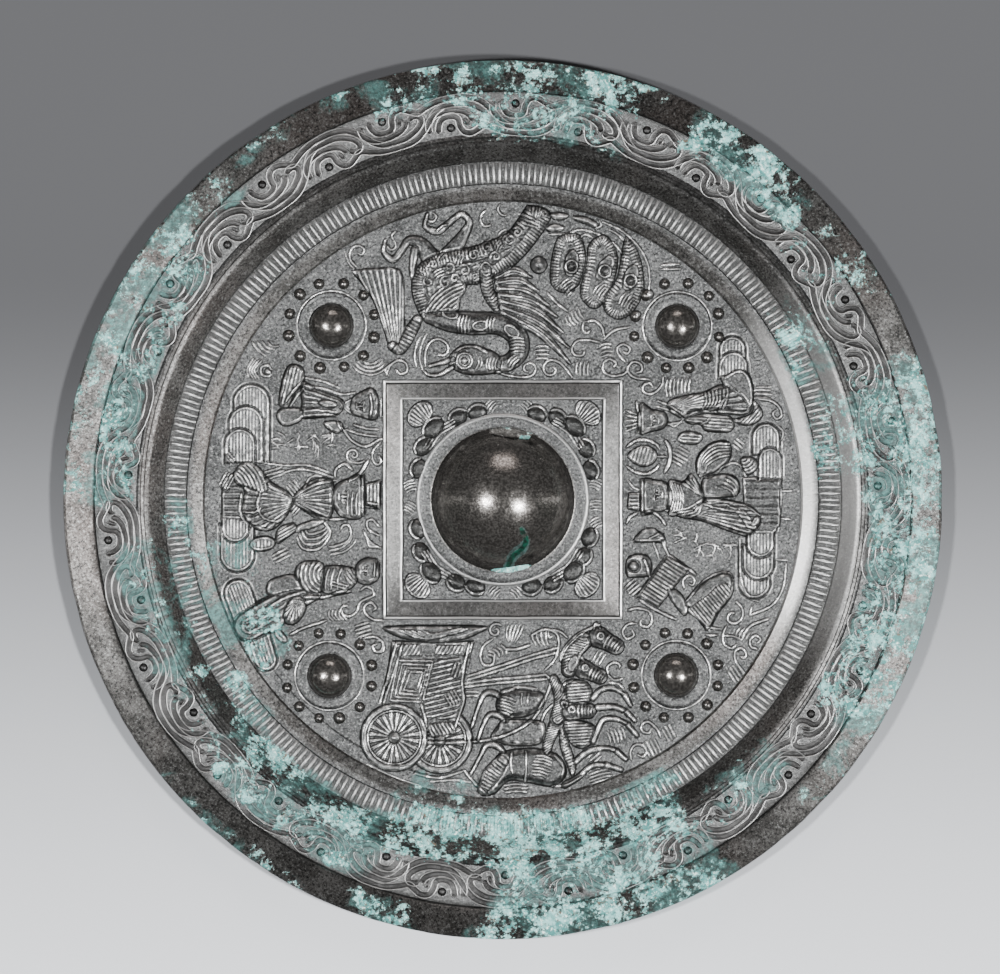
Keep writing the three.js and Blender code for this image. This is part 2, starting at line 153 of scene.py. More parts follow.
# Patches of patina as angle from, angle to, inner radius, outer radius, pale crust, green.
PATINA = [
    (-1, 19, 90, 111, 0.85, 0.5), (2, 17, 78, 90, 0.6, 0.4), (22, 34, 78, 90, 0.7, 0.7),
    (29, 42, 92, 111, 0.45, 0.1), (44, 64, 98, 111, 0.8, 0.5), (69, 106, 100, 111, 0.7, 0.5),
    (72, 95, 90, 102, 0.6, 0.5), (106, 128, 106, 111, 0.35, 0.3), (129, 138, 100, 111, 0.5, 0.3),
    (139, 180, 93, 111, 0.6, 0.6), (180, 222, 79, 86, 0.45, 0.6), (188, 224, 86, 97, 0.4, 0.5),
    (190, 208, 62, 79, 0.2, 0.4), (203, 215, 63, 74, 0.8, 0.5), (222, 240, 107, 111, 0.4, 0.8),
    (222, 249, 84, 100, 0.75, 0.8), (248, 274, 78, 92, 1.05, 0.3), (249, 258, 103, 111, 0.7, 0.6),
    (252, 265, 71, 77, 0.5, 0.6), (267, 301, 90, 111, 0.8, 0.9), (270, 300, 79, 90, 1.0, 0.6),
    (300, 316, 88, 98, 0.4, 0.5), (315, 328, 104, 111, 0.3, 0.2), (327, 360, 92, 111, 0.8, 0.5),
]
PATCH_WANDER_DEGREES = 3.5
PATCH_WANDER = 1.8
PATCH_SOFT_DEGREES = 2.0
PATCH_SOFT = 1.2

# ---------------------------------------------------------------- colours, as linear red, green, blue

GROUND_COLOURS = (0.029, 0.03, 0.03), (0.058, 0.059, 0.059)
FLAT_COLOURS = (0.036, 0.035, 0.033), (0.075, 0.073, 0.07)
FLAT_BROWN = (0.06, 0.05, 0.046)
BRIGHT_GRAIN = (0.15, 0.152, 0.15)
DARK_GRAIN = (0.009, 0.009, 0.009)
RIBBON_COLOURS = (0.008, 0.008, 0.008), (0.03, 0.03, 0.03)
# Painted on worn edges and crests: partly wear, partly a painted highlight.
WEAR_AND_HIGHLIGHT_COLOUR = (0.78, 0.78, 0.77)
HANDLED_COLOURS = (0.055, 0.052, 0.048), (0.16, 0.152, 0.142)
# Painted into hollows, corners and the bore: partly dirt, partly painted shade.
DIRT_AND_SHADE_COLOUR = (0.01, 0.01, 0.0095)
CRUST_COLOURS = (0.035, 0.17, 0.16), (0.24, 0.5, 0.48)
CRUST_WHITE = (0.68, 0.83, 0.77)
CRUST_SOIL = (0.09, 0.062, 0.038)
FILM_COLOURS = (0.012, 0.037, 0.035), (0.055, 0.15, 0.14)
MALACHITE_COLOURS = (0.001, 0.014, 0.009), (0.001, 0.075, 0.046)
FLOOR_NEAR, FLOOR_FAR = (0.66, 0.68, 0.71), (0.057, 0.058, 0.061)
ROOM_COLOUR = (0.5, 0.5, 0.52, 1)
WHITE_LIGHT, WARM_LIGHT = (1, 1, 1), (1, 0.9, 0.87)

# ---------------------------------------------------------------- the stage, in metres

SENSOR_WIDTH = 36
CAMERA_HEIGHT = 2.2
CAMERA_AIM = (-0.0007, 0.0032)
PICTURE_WIDTH = 0.25
PICTURE_LEVEL = 0.007  # the height above the floor at which the picture is that wide
FLOOR_HALF = 3.0
FLOOR_PAINTED_FALLOFF = (-0.205, 0.06)  # a painted fall-off of light: from the near colour to the far one, along Y
ROOM_STRENGTH = 0.2

# Soft panels: name, tilt from straight above, bearing, distance, width, height, watts, colour.
PANELS = [
    ("key_left", 24, 187, 1.5, 0.13, 0.13, 31, WHITE_LIGHT),
    ("key_right", 26, -22, 1.5, 0.13, 0.13, 42, WHITE_LIGHT),
    ("top", 58, 88, 1.6, 0.7, 0.5, 6.5, WARM_LIGHT),
    ("side_left", 83, 180, 1.4, 0.12, 1.5, 1, WHITE_LIGHT),
    ("side_right", 83, 0, 1.4, 0.12, 1.5, 2, WHITE_LIGHT),
]

# ---------------------------------------------------------------- small tools


def smoothstep(low, high, value):
    """0 below low, 1 above high, and a smooth rise between."""
    t = np.clip((np.asarray(value, dtype=float) - low) / (high - low), 0, 1)
    return t * t * (3 - 2 * t)


def band(low, full_from, full_to, high, value):
    """0 outside low and high, 1 from full_from to full_to, and smooth between."""
    return smoothstep(low, full_from, value) * smoothstep(high, full_to, value)


def polar(radius, degrees, centre=(0.0, 0.0)):
    """The point at a radius and an angle, anticlockwise from +X."""
    angle = np.radians(degrees)
    return centre[0] + radius * np.cos(angle), centre[1] + radius * np.sin(angle)


class Noise:
    """Smooth random values over the plane, -1 to 1, the same each run."""

    def __init__(self, seed, grid=256):
        self.grid = grid
        self.values = np.random.default_rng(seed).uniform(-1, 1, (grid, grid))

    def __call__(self, x, y, size, octaves=3):
        """The values at points, in clouds about `size` across with finer ones on them."""
        total = np.zeros(np.broadcast(x, y).shape)
        weight, weights = 1.0, 0.0
        for octave in range(octaves):
            u = np.asarray(x) / size + 37.1 * octave
            v = np.asarray(y) / size + 91.7 * octave
            i, j = np.floor(u).astype(int), np.floor(v).astype(int)
            fu, fv = smoothstep(0, 1, u - i), smoothstep(0, 1, v - j)
            g, n = self.values, self.grid
            low = g[j % n, i % n] * (1 - fu) + g[j % n, (i + 1) % n] * fu
            high = g[(j + 1) % n, i % n] * (1 - fu) + g[(j + 1) % n, (i + 1) % n] * fu
            total += weight * (low * (1 - fv) + high * fv)
            weights += weight
            weight *= 0.5
            size *= 0.5
        return total / weights


noise = Noise(SEED)


def curve(points, spacing=0.35):
    """A smooth line through points, as rows like the points, about evenly spaced."""
    points = np.asarray(points, dtype=float)
    if len(points) == 2:
        steps = max(2, int(math.dist(points[0][:2], points[1][:2]) / spacing) + 1)
        t = np.linspace(0, 1, steps)[:, None]
        return points[0] * (1 - t) + points[1] * t
    ends = [2 * points[0] - points[1]], points, [2 * points[-1] - points[-2]]
    knots = np.vstack(ends)
    rows = []
    for before, start, stop, after in zip(knots, knots[1:], knots[2:], knots[3:]):
        steps = max(2, int(math.dist(start[:2], stop[:2]) / spacing) + 1)
        t = np.linspace(0, 1, steps, endpoint=False)[:, None]
        rows.append(0.5 * (
            2 * start + (stop - before) * t
            + (2 * before - 5 * start + 4 * stop - after) * t**2
            + (3 * start - before - 3 * stop + after) * t**3
        ))
    return np.vstack([*rows, points[-1:]])


def closed_curve(points, spacing=0.5):
    """A smooth loop through points."""
    points = np.asarray(points, dtype=float)
    around = np.vstack([points[-2:], points, points[:3]])
    dense = curve(around, spacing)
    first = np.argmin(np.hypot(*(dense[:, :2] - points[0][:2]).T))
    last = len(dense) - 1 - np.argmin(np.hypot(*(dense[::-1, :2] - points[0][:2]).T))
    return dense[first:last + 1]


def oval(x, y, long_half, short_half, turn=0.0, steps=40):
    """An oval outline; its long half is turned anticlockwise from +X."""
    t = np.linspace(0, 2 * np.pi, steps + 1)
    c, s = math.cos(math.radians(turn)), math.sin(math.radians(turn))
    u, v = long_half * np.cos(t), short_half * np.sin(t)
    return np.column_stack([x + u * c - v * s, y + u * s + v * c])


def turned(points, x, y, angle):
    """Points moved to (x, y) with their +X turned to `angle`."""
    c, s = math.cos(math.radians(angle)), math.sin(math.radians(angle))
    return [(x + u * c - v * s, y + u * s + v * c) for u, v in points]


def spiral(x, y, radius, start, sweep, end_radius=0.3, steps=16):
    """Points of a spiral that winds in from `radius`, by `sweep` degrees from `start`."""
    t = np.linspace(0, 1, steps)
    reach = radius + (end_radius - radius) * t
    px, py = polar(reach, start + sweep * t, (x, y))
    return np.column_stack([px, py])


# ---------------------------------------------------------------- the carving language


class Place:
    """Where the grid points of a shape lie, measured along and across it."""

    def __init__(self, path, x, y):
        start, stop = path[:-1], path[1:]
        leg = stop[:, :2] - start[:, :2]
        leg_length = np.hypot(leg[:, 0], leg[:, 1]) + 1e-9
        px = x.ravel()[:, None] - start[:, 0]
        py = y.ravel()[:, None] - start[:, 1]
        t = np.clip((px * leg[:, 0] + py * leg[:, 1]) / leg_length**2, 0, 1)
        away = (px - t * leg[:, 0]) ** 2 + (py - t * leg[:, 1]) ** 2
        near = away.argmin(axis=1)
        rows = np.arange(len(near))
        t = t[rows, near]
        turn = leg[near, 0] * py[rows, near] - leg[near, 1] * px[rows, near]
        along = np.concatenate([[0], np.cumsum(leg_length)])
        self.x, self.y = x, y
        self.distance = np.sqrt(away[rows, near]).reshape(x.shape)
        self.across = (np.sign(turn) * np.sqrt(away[rows, near])).reshape(x.shape)
        self.along = (along[near] + t * leg_length[near]).reshape(x.shape)
        self.length = along[-1]
        extra = start[near, 2:] + t[:, None] * (stop[near, 2:] - start[near, 2:])
        self.extra = extra.reshape(*x.shape, -1)


def inside(path, x, y):
    """True at the grid points inside a closed outline."""
    result = np.zeros(x.shape, dtype=bool)
    for (x1, y1), (x2, y2) in zip(path[:-1, :2], path[1:, :2]):
        if y1 == y2:
            continue
        crosses = (y1 > y) != (y2 > y)
        result ^= crosses & (x < (x2 - x1) * (y - y1) / (y2 - y1) + x1)
    return result


def wave(phase):
    """Rounded ridges, one to each whole number of phase."""
    return RIDGE_SWING * np.cos(2 * np.pi * phase)


def ribs(pitch, depth=0.16, slant=0.0):
    """Ridges across a shape."""
    return lambda p: depth * wave((p.along + slant * np.abs(p.across)) / pitch)


def slanted(pitch, depth=0.16, slant=1.0):
    """Ridges across a shape, all leaning one way."""
    return lambda p: depth * wave((p.along + slant * p.across) / pitch)


def folds(pitch, depth=0.16):
    """Ridges along a shape."""
    return lambda p: depth * wave(p.across / pitch)


def fringe(pitch, reach, depth=0.2, scales=1.0):
    """Short ridges that stand square to an outline all round it, and small scales inside them."""
    def texture(p):
        near = smoothstep(reach, 0.6 * reach, p.distance)
        pebbles = scales * (noise(p.x, p.y, 1.4, 2) + 0.5 * wave(p.distance / 1.4))
        return depth * (near * wave(p.along / pitch) + (1 - near) * pebbles)
    return texture


def hatch(angle, pitch, depth=0.16):
    """Straight ridges that run at an angle."""
    c, s = math.cos(math.radians(angle)), math.sin(math.radians(angle))
    return lambda p: depth * wave((p.y * c - p.x * s) / pitch)


def rays(x, y, pitch_degrees, depth=0.16):
    """Ridges that spread from a point."""
    return lambda p: depth * wave(np.degrees(np.arctan2(p.y - y, p.x - x)) / pitch_degrees)


def rings(x, y, pitch, depth=0.16):
    """Ridges in circles round a point."""
    return lambda p: depth * wave(np.hypot(p.x - x, p.y - y) / pitch)


class Carving:
    """Heights above the ground on one square grid. Later shapes cover earlier ones.

    There are four layers: the mass of the shapes, the raised lines on them, the lines cut into
    them, and how dark they are painted, which on the petals is a painted dark reflection.
    """

    def __init__(self, half):
        steps = int(math.ceil(half / CELL))
        self.axis = np.arange(-steps, steps + 1) * CELL
        size = len(self.axis)
        self.mass, self.line, self.cut, self.darkening = np.zeros((4, size, size), dtype=np.float32)

    def window(self, path, reach):
        """The block of the grid within reach of a path, and its x and y."""
        low = path[:, :2].min(axis=0) - reach
        high = path[:, :2].max(axis=0) + reach
        i0, j0 = np.searchsorted(self.axis, low)
        i1, j1 = np.searchsorted(self.axis, high)
        x, y = np.meshgrid(self.axis[i0:i1], self.axis[j0:j1])
        return np.s_[j0:j1, i0:i1], x, y

    def lay(self, block, covers, height, darkening):
        """Puts a shape on the grid where it covers, and clears the lines below it."""
        height = np.maximum(height, SHOWS_THROUGH * self.mass[block])
        for layer, value in ((self.mass, height), (self.line, 0), (self.cut, 0), (self.darkening, darkening)):
            layer[block] = np.where(covers, value, layer[block])

    def body(self, stations, height=1.0, crown=3.0, texture=None, lift=0.0, darkening=0.35):
        """A raised rounded strip through stations (x, y, width)."""
        path = curve(stations, 0.6)
        block, x, y = self.window(path, path[:, 2].max() / 2 + CELL)
        if x.size == 0:
            return
        place = Place(path, x, y)
        share = place.distance / np.maximum(place.extra[..., 0] / 2, 0.05)
        top = height * np.clip(1 - share**crown, 0, 1) ** 0.75 + lift
        if texture is not None:
            top = top + texture(place) * np.clip(1 - share**6, 0, 1)
        self.lay(block, share < 1, top, darkening)

    def plate(self, outline, height=1.0, edge=0.7, texture=None, lift=0.0, darkening=0.35):
        """A raised shape inside a closed outline, rounded over `edge` at its border."""
        path = np.asarray(outline, dtype=float)
        if not np.allclose(path[0], path[-1]):
            path = np.vstack([path, path[:1]])
        block, x, y = self.window(path, CELL)
        place = Place(path, x, y)
        share = np.clip(1 - place.distance / (1.35 * edge), 0, 1)
        top = height * np.clip(1 - share**2.2, 0, 1) ** 0.8 + lift
        if texture is not None:
            top = top + texture(place) * np.clip(place.distance / edge, 0, 1)
        self.lay(block, inside(path, x, y), top, darkening)

    def patch(self, points, height=1.0, edge=0.7, texture=None, lift=0.0, darkening=0.35):
        """A plate with a smooth outline through points."""
        self.plate(closed_curve(points), height, edge, texture, lift, darkening)

    def thread(self, points, width, height):
        """A raised line on whatever lies below it. Its ends taper."""
        path = curve(points)
        block, x, y = self.window(path, width)
        if x.size == 0:
            return
        place = Place(path, x, y)
        taper = np.minimum(place.along, place.length - place.along) / TIP_LENGTH
        half = width / 2 * np.clip(TIP_WIDTH + (1 - TIP_WIDTH) * taper, 0, 1)
        share = np.clip(place.distance / half, 0, 1)
        ridge = WEAR * height * (1 - share**3)
        self.line[block] = np.maximum(self.line[block], ridge)

    def threads(self, width, height, lines):
        """Raised lines of one width and one height."""
        for points in lines:
            self.thread(points, width, height)

    def fan(self, count, width, height, points, steps):
        """A row of threads. Each point of a thread lies one of its own steps from the last thread's."""
        for index in range(count):
            moved = [(x + step_x * index, y + step_y * index)
                     for (x, y), (step_x, step_y) in zip(points, steps)]
            self.thread(moved, width, height)

    def groove(self, points, width, depth):
        """A sunk line."""
        path = curve(points)
        block, x, y = self.window(path, width)
        place = Place(path, x, y)
        share = np.clip(place.distance / (width / 2), 0, 1)
        self.cut[block] = np.maximum(self.cut[block], depth * (1 - share**2))

    def dome(self, x0, y0, radius, height):
        """A round knob."""
        path = np.array([[x0, y0, 2 * radius], [x0 + 0.01, y0, 2 * radius]])
        self.body(path, height, crown=2)

    def ring(self, x0, y0, radius, width, height):
        """A raised circle."""
        self.thread(oval(x0, y0, radius, radius), width, height)

    def tuft(self, x0, y0, angle, length, count, pitch=0.95, bend=0.0, width=0.62, height=0.42):
        """A group of short parallel threads round a point, bent sideways by `bend`."""
        for index in range(count):
            off = index - (count - 1) / 2
            span = length * (1 - 0.10 * abs(off)) / 2
            points = [(span * t, off * pitch + bend * (1 - t * t)) for t in (-1, 0, 1)]
            self.thread(turned(points, x0, y0, angle), width, height)

    def heights(self):
        """The layers together."""
        return np.maximum(self.mass + self.line - self.cut, -DEEPEST_CUT)


# ---------------------------------------------------------------- the picture


def left_wing(c):
    """The fan of the left wing, gathered below in a ribbed hook."""
    c.plate(curve([(-38, 57.4), (-33, 50.6), (-30.2, 43.6), (-28.6, 38.8), (-26, 37), (-24, 38.6),
                   (-24.6, 46), (-25.4, 57), (-32, 58), (-38, 57.4)], 1), 0.65, 0.5,
            rays(-25.8, 31, 3.1, 0.22))
    c.body([(-27.6, 38.6, 2.6), (-25.6, 37.9, 3), (-23.4, 41.6, 3.4), (-21.4, 45, 2.6)], 1.1, 3,
           ribs(0.95, 0.2))


def right_wing(c):
    """The feathers of the right wing."""
    tips = [(7.2, 55.6), (9, 52.2), (11.6, 48.6), (13.6, 45.8), (15.2, 41.8), (16.6, 38), (17, 34)]
    for index, (tip_x, tip_y) in enumerate(tips):
        down = index / (len(tips) - 1)
        root = (-1.4 + 1.6 * down, 56 - 9.4 * down)
        middle = ((root[0] + tip_x) / 2 + 0.8 * down, (root[1] + tip_y) / 2 + 1.5)
        c.body([(*root, 1.9), (*middle, 2.3), (tip_x, tip_y, 0.5)],
               1.0, 3.5, folds(0.85, 0.2), lift=0.2)


def hind_legs(c):
    """The dragon's hind legs, with hooked claws."""
    c.body([(-18, 60.5, 5), (-20.6, 64, 3.6), (-23.6, 64.8, 2.2), (-25.6, 62, 1.8), (-27.6, 60.2, 1.8),
            (-29.8, 62, 1.3), (-29.4, 65, 0.8)], 1.0)
    c.body([(-22, 62.5, 2.2), (-22.6, 58.6, 1.8), (-22.6, 56, 1.4)], 0.8)
    c.body([(-13.4, 61, 5.2), (-10.4, 65.4, 3.2), (-8.4, 69.4, 1.8), (-10.4, 71.5, 1.5),
            (-13.6, 69.2, 1.7), (-16.4, 67.2, 1.8), (-19.4, 68.4, 1.3), (-18.9, 71.6, 0.7)], 1.0)
    c.threads(0.7, 0.5, [
        [(-16.6, 67.2), (-15.2, 68.6), (-14, 68.8)],
        [(-19.4, 70.2), (-17.6, 69.6), (-16.6, 70.8), (-17.4, 71.8)],
        [(-29.6, 64.2), (-28, 62.6), (-26.8, 63.4), (-27.2, 65)],
        [(-27.4, 65.2), (-27.8, 66.2), (-26.9, 67.2)],
    ])


def dragon_body(c):
    """The dragon's body and the tail that rises to the right, combed along every edge."""
    c.plate(curve([(6, 73.8), (10, 73.2), (12.2, 71.4), (11, 68.4), (8.4, 64.6), (5.4, 61), (2, 57.8),
                   (-1.6, 55.8), (-3.4, 55.6), (-6.4, 54), (-9, 53.6), (-10.6, 51), (-11, 47.6),
                   (-14, 45.6), (-19.6, 45.2), (-21.6, 48), (-22.8, 52), (-22.6, 56), (-20.6, 59.4),
                   (-17.4, 61.4), (-13, 62.6), (-8, 63.4), (-3, 65), (1, 67), (3.8, 70.4), (6, 73.8)],
                  1), 1.6, 1.5, fringe(0.86, 3.4, 0.3))
    c.plate(curve([(-20, 45.5), (-18.6, 50), (-15, 53.6), (-10.5, 54.4), (-9.2, 53), (-10.8, 50),
                   (-11.2, 47.6), (-14.6, 46.8), (-16.4, 45.8), (-20, 45.5)], 1), 0.5, 0.6,
            rings(-6, 39.6, 0.95, 0.26), lift=1.2)
    for shift in (0, 1.05, 2.1):
        c.thread([(4 + shift * 0.3, 71.6 - shift), (6.6, 70.8 - shift), (9.2, 69.4 - shift * 0.6)],
                 0.6, 0.35)
    c.thread(spiral(10.4, 71.6, 1.1, 200, -400), 0.55, 0.35)
    for x0, y0, radius, start, sweep in [
        (-14.4, 54.4, 1.6, 60, 420), (-18.6, 54.6, 1.3, 120, 380), (-13.4, 58.2, 1.5, 240, 400),
        (-7.2, 61.2, 1.4, 30, 420), (-9.6, 57.4, 1.5, 140, -420), (-4.4, 58.2, 1.5, 320, 420),
        (-4, 63.2, 1.5, 60, 400), (-1.8, 60.8, 1.4, 200, -420), (1.8, 64.8, 1.4, 20, 400),
        (3.6, 67, 1.3, 120, -400), (-12, 55.4, 1.1, 0, 380), (-17.4, 58.8, 1.2, 200, -380),
    ]:
        c.thread(spiral(x0, y0, radius, start, sweep), 0.6, 0.42)
    for x0, y0, angle in [(-16, 56.6, 30), (-10.8, 60.2, 70), (-6.4, 55.6, 10), (-1, 63.4, 60),
                          (0.2, 66.4, 40), (-15.6, 61, 50), (-19.6, 57.4, 100)]:
        c.tuft(x0, y0, angle, 2.4, 3, 0.75, 0.2, 0.5, 0.35)


def foreleg(c):
    """The dragon's ribbed foreleg."""
    c.body([(-4.2, 57, 3.4), (-3.9, 53, 3.2), (-2.6, 50, 3.1), (-1.6, 47.7, 1.6)], 1.3, 3,
           ribs(0.85, 0.22, 0.4))


def dragon_head(c):
    """The dragon's neck and turned head."""
    c.body([(-18.4, 45.6, 3), (-14, 44.8, 5), (-8, 44.2, 5.8), (-1, 44, 5.4), (3.4, 41.2, 5.4),
            (4, 37, 4.8), (1, 34.2, 4.2), (-4, 33.8, 4.4)], 1.6, 3.2)
    c.tuft(-9.6, 44, 84, 4.4, 4, 0.85, 0.3, 0.55, 0.35)
    c.tuft(-3, 44, 84, 4, 3, 0.8, 0.3, 0.55, 0.35)
    c.tuft(3.6, 38.6, 4, 4, 5, 0.8, 0.25, 0.55, 0.35)
    c.tuft(2.6, 34.6, 50, 3, 3, 0.8, 0.3, 0.55, 0.35)
    for x0, y0, long_half, turn in [(-13.2, 46.6, 1.9, -18), (-5.6, 43.6, 1.9, 5), (2.2, 42.2, 2, -35)]:
        c.thread(oval(x0, y0, long_half, 1.1, turn, 24), 0.55, 0.38)
    c.plate(curve([(-0.6, 32), (-5, 31.3), (-10, 31.6), (-13.4, 33.6), (-13.6, 35.6), (-11.6, 37.8),
                   (-8, 38.9), (-4, 37.8), (-0.6, 35.8), (-0.6, 32)], 1), 1.5, 1.0)
    c.ring(-9.6, 34.8, 1.9, 0.6, 0.45)
    c.dome(-9.6, 34.8, 1.0, 2.2)
    c.thread([(-12.4, 37), (-9.6, 38.5), (-6.4, 38.3), (-4, 37)], 0.7, 0.4)
    c.tuft(-6, 34.2, 80, 3.2, 2, 0.8, -0.3, 0.5, 0.35)
    c.tuft(-2.8, 34, 84, 3, 4, 0.75, 0.2, 0.5, 0.35)
    c.body([(-12.6, 35.2, 1.6), (-15.4, 34.3, 1.2), (-18.4, 33.5, 0.8)], 0.8)
    c.body([(-12.4, 33.4, 1.4), (-15.6, 31.4, 1.1), (-18.4, 31.2, 0.9), (-19.8, 32.2, 0.7)], 0.8)
    c.thread([(-19.4, 33.4), (-19.3, 37.2), (-18, 39.6), (-15.9, 40.2), (-14, 39), (-13.7, 37.3),
              (-14.8, 36.2), (-16.2, 36.4)], 0.8, 0.5)
    c.threads(0.7, 0.5, [
        [(-20, 32.4), (-20.8, 35.4), (-20.4, 38.6), (-19.2, 41.4)],
        [(-21.6, 33.2), (-22.1, 36), (-21.5, 39), (-20.6, 40.8)],
        [(-1.6, 32), (2, 31), (6, 30.7), (7.8, 31.6), (8.2, 33.2), (6.9, 34.2), (5.4, 33.6),
         (5.4, 32.4), (6.4, 32)],
    ])


def dragon_clouds(c):
    """Curls of cloud round the dragon."""
    c.threads(0.75, 0.5, [
        [(-36.6, 58.2), (-38.3, 60.4), (-37.8, 62.9), (-36, 63.6), (-34.7, 62.6), (-35.3, 61.4),
         (-36.2, 61.7)],
        [(0.9, 71.2), (-0.4, 71.4), (-1.2, 72.8), (-0.7, 74)],
        [(-2.9, 68.8), (-4.6, 68.5), (-5.6, 70), (-5.2, 71.6), (-4.2, 72.4)],
        [(-29.2, 31.2), (-28.2, 33.6), (-26.2, 34.9), (-24.2, 34.1), (-24, 32.2), (-25.6, 31.5),
         (-26.8, 32.6)],
    ])
    c.thread([(-39.4, 61.6), (-38.6, 59.4), (-37.3, 57.8)], 0.6, 0.5)
    for radius in (2.6, 3.5, 4.4, 5.3):
        c.thread(spiral(-33.2, 36.6, radius, 214, 110, radius, 8), 0.5, 0.35)
    c.tuft(9.8, 36.8, 0, 3.4, 4, 1.0, 0.15)
    c.thread([(17.4, 30.6), (15.8, 32.8), (13.8, 34.6), (11.4, 34.8), (10.2, 33.2), (10.9, 31.5),
              (12.4, 31.3), (13.3, 32.5), (12.5, 33.3)], 0.75, 0.5)


def pearl_and_plumes(c):
    """The pearl and the three plumes with their eyes."""
    c.dome(9, 58.8, 2.15, 1.9)
    for points in [
        [(10.6, 68.2), (13, 69.2), (15.6, 68.2), (14, 67), (11.4, 67.2)],
        [(11.6, 71.6), (14, 72), (16.6, 71.4), (15.6, 70.2), (12.8, 70.2)],
        [(17.6, 71), (20.4, 71), (23.6, 69.4), (23.4, 68), (20.6, 69), (18, 70)],
    ]:
        c.patch(points, 0.8, 0.8)
    c.threads(0.6, 0.5, [
        [(24.2, 69.8), (24.6, 68.6), (23, 67.8)],
        [(11.6, 66.4), (16, 66.6), (19.6, 67.6), (24, 66.4), (28.6, 63.4), (31, 59)],
        [(17.4, 66.2), (18.6, 65.2), (20.6, 66.4), (22.6, 65.6)],
        [(25, 69.6), (30, 67.2), (34, 63.4), (36.2, 59.4), (36.8, 55.4), (36.6, 52.6)],
        [(26.6, 67.6), (28.6, 66.6), (30.4, 64.8)],
    ])
    for blade, eye, eye_turn, angle in [
        ([(19, 66.4), (14.4, 66.2), (12.6, 62.4), (11.8, 57), (12.4, 53.4), (15.2, 51.8), (18.4, 53),
          (20.4, 57), (20.8, 61.4)], (17.2, 58.4), 80, 40),
        ([(25, 66.4), (21.6, 64), (20.8, 59), (19.4, 53.4), (19.9, 50), (22.6, 47.9), (25.4, 49.4),
          (28, 55), (28.8, 60), (27.8, 64)], (25.6, 57.2), 60, 52),
        ([(30.8, 66), (29.6, 61), (28.4, 55.4), (25.6, 51.4), (25.4, 47.4), (28.8, 45.2),
          (32.4, 46.8), (35.2, 52), (35, 58), (33.4, 63)], (32, 54.8), 70, 58),
    ]:
        c.patch(blade, 1.2, 0.9, fringe(0.85, 2.6, 0.24, 0.6))
        c.tuft(eye[0] - 0.8, eye[1] - 5.2, angle, 3.4, 5, 0.8, 0.2, 0.5, 0.35)
        c.plate(oval(eye[0], eye[1] + 0.8, 3.6, 2, eye_turn), 0.5, 0.5, lift=1.0, darkening=0.5)
        c.ring(eye[0], eye[1], 1.5, 0.55, 0.5)
        c.dome(eye[0], eye[1], 0.85, 2.1)
    c.dome(36.6, 51.4, 1.2, 1.3)
    c.dome(33.6, 46.3, 1.05, 1.3)


def wing_clouds(c):
    """Small clouds right of the wing."""
    c.tuft(42, 58.3, 2, 5, 2, 1.1)
    c.threads(0.8, 0.5, [
        [(11.2, 51.8), (13.6, 49.2), (16.2, 47.2)],
        [(20.8, 44.6), (23, 44.8), (24.8, 43.2), (25.4, 41)],
        [(31.6, 43.2), (28, 42.4), (25.2, 40.2)],
    ])
    c.tuft(18, 45.6, 120, 3.4, 5, 0.95, 0.3)
    c.thread([(20.2, 44.6), (20, 42.6), (21, 41.7), (21.9, 42.4)], 0.7, 0.5)
    c.threads(0.75, 0.5, [
        [(24.2, 39.4), (21.2, 40), (18.4, 39.6), (17.3, 37.6), (18.2, 36.2), (20, 36.2), (20.5, 37.4)],
        [(25.2, 34.4), (25.2, 32.2), (27.4, 31), (30.2, 31.4), (31.6, 32.8)],
        [(25.2, 34.4), (26.8, 35.2), (28.4, 34.2), (27.6, 33.2)],
        [(30.8, 34.4), (28.9, 36.6), (28.8, 38.2), (30.4, 38.9), (31.9, 37.8), (31.2, 36.6),
         (30.2, 37)],
        [(36.8, 30.1), (33, 30.6), (31.2, 32.6), (32.6, 34.5), (34.6, 33.9), (34.8, 32.3),
         (33.4, 31.8)],
    ])
    c.tuft(25.9, 37.4, 8, 3, 4, 0.95, 0.3)
    c.tuft(20, 32.8, 88, 3.6, 4, 0.95, 0.2)


def draw_north(c):
    """A winged dragon, its head turned back to the left, and three eyed plumes."""
    for draw in (left_wing, right_wing, hind_legs, dragon_body, foreleg, dragon_head,
                 dragon_clouds, pearl_and_plumes, wing_clouds):
        draw(c)


def lobe(c, x, y, half, length, angle):
    """A flat tongue of cloud, round at (x, y) towards `angle`, sunk and then raised at its edge."""
    def outline(inset):
        around = [polar(half - inset, turn) for turn in range(-90, 91, 15)]
        return turned([(-length, around[0][1]), *around, (-length, around[-1][1])], x, y, angle)

    c.plate(outline(0), 0.6, 0.5, hatch(angle, 0.8, 0.12), darkening=0.15)
    c.groove(outline(-0.1), 0.6, 0.3)
    c.thread(outline(0.5), 0.55, 0.3)


def face(c, x, y, size):
    """A plain small face seen from the front: brows, eyes, nose and mouth.

    Its brow is towards +X, or towards -X if the size is negative.
    """
    up, across = size, abs(size)
    for side in (-across, across):
        c.thread([(x + 0.45 * up, y + 0.2 * side), (x + 0.5 * up, y + 0.75 * side)], 0.5, 0.3)
        c.dome(x + 0.15 * up, y + 0.45 * side, 0.3 * across ** 0.5, 1.9)
    c.thread([(x + 0.3 * up, y), (x - 0.25 * up, y)], 0.6, 0.4)
    c.thread([(x - 0.6 * up, y - 0.4 * across), (x - 0.6 * up, y + 0.4 * across)], 0.5, 0.3)


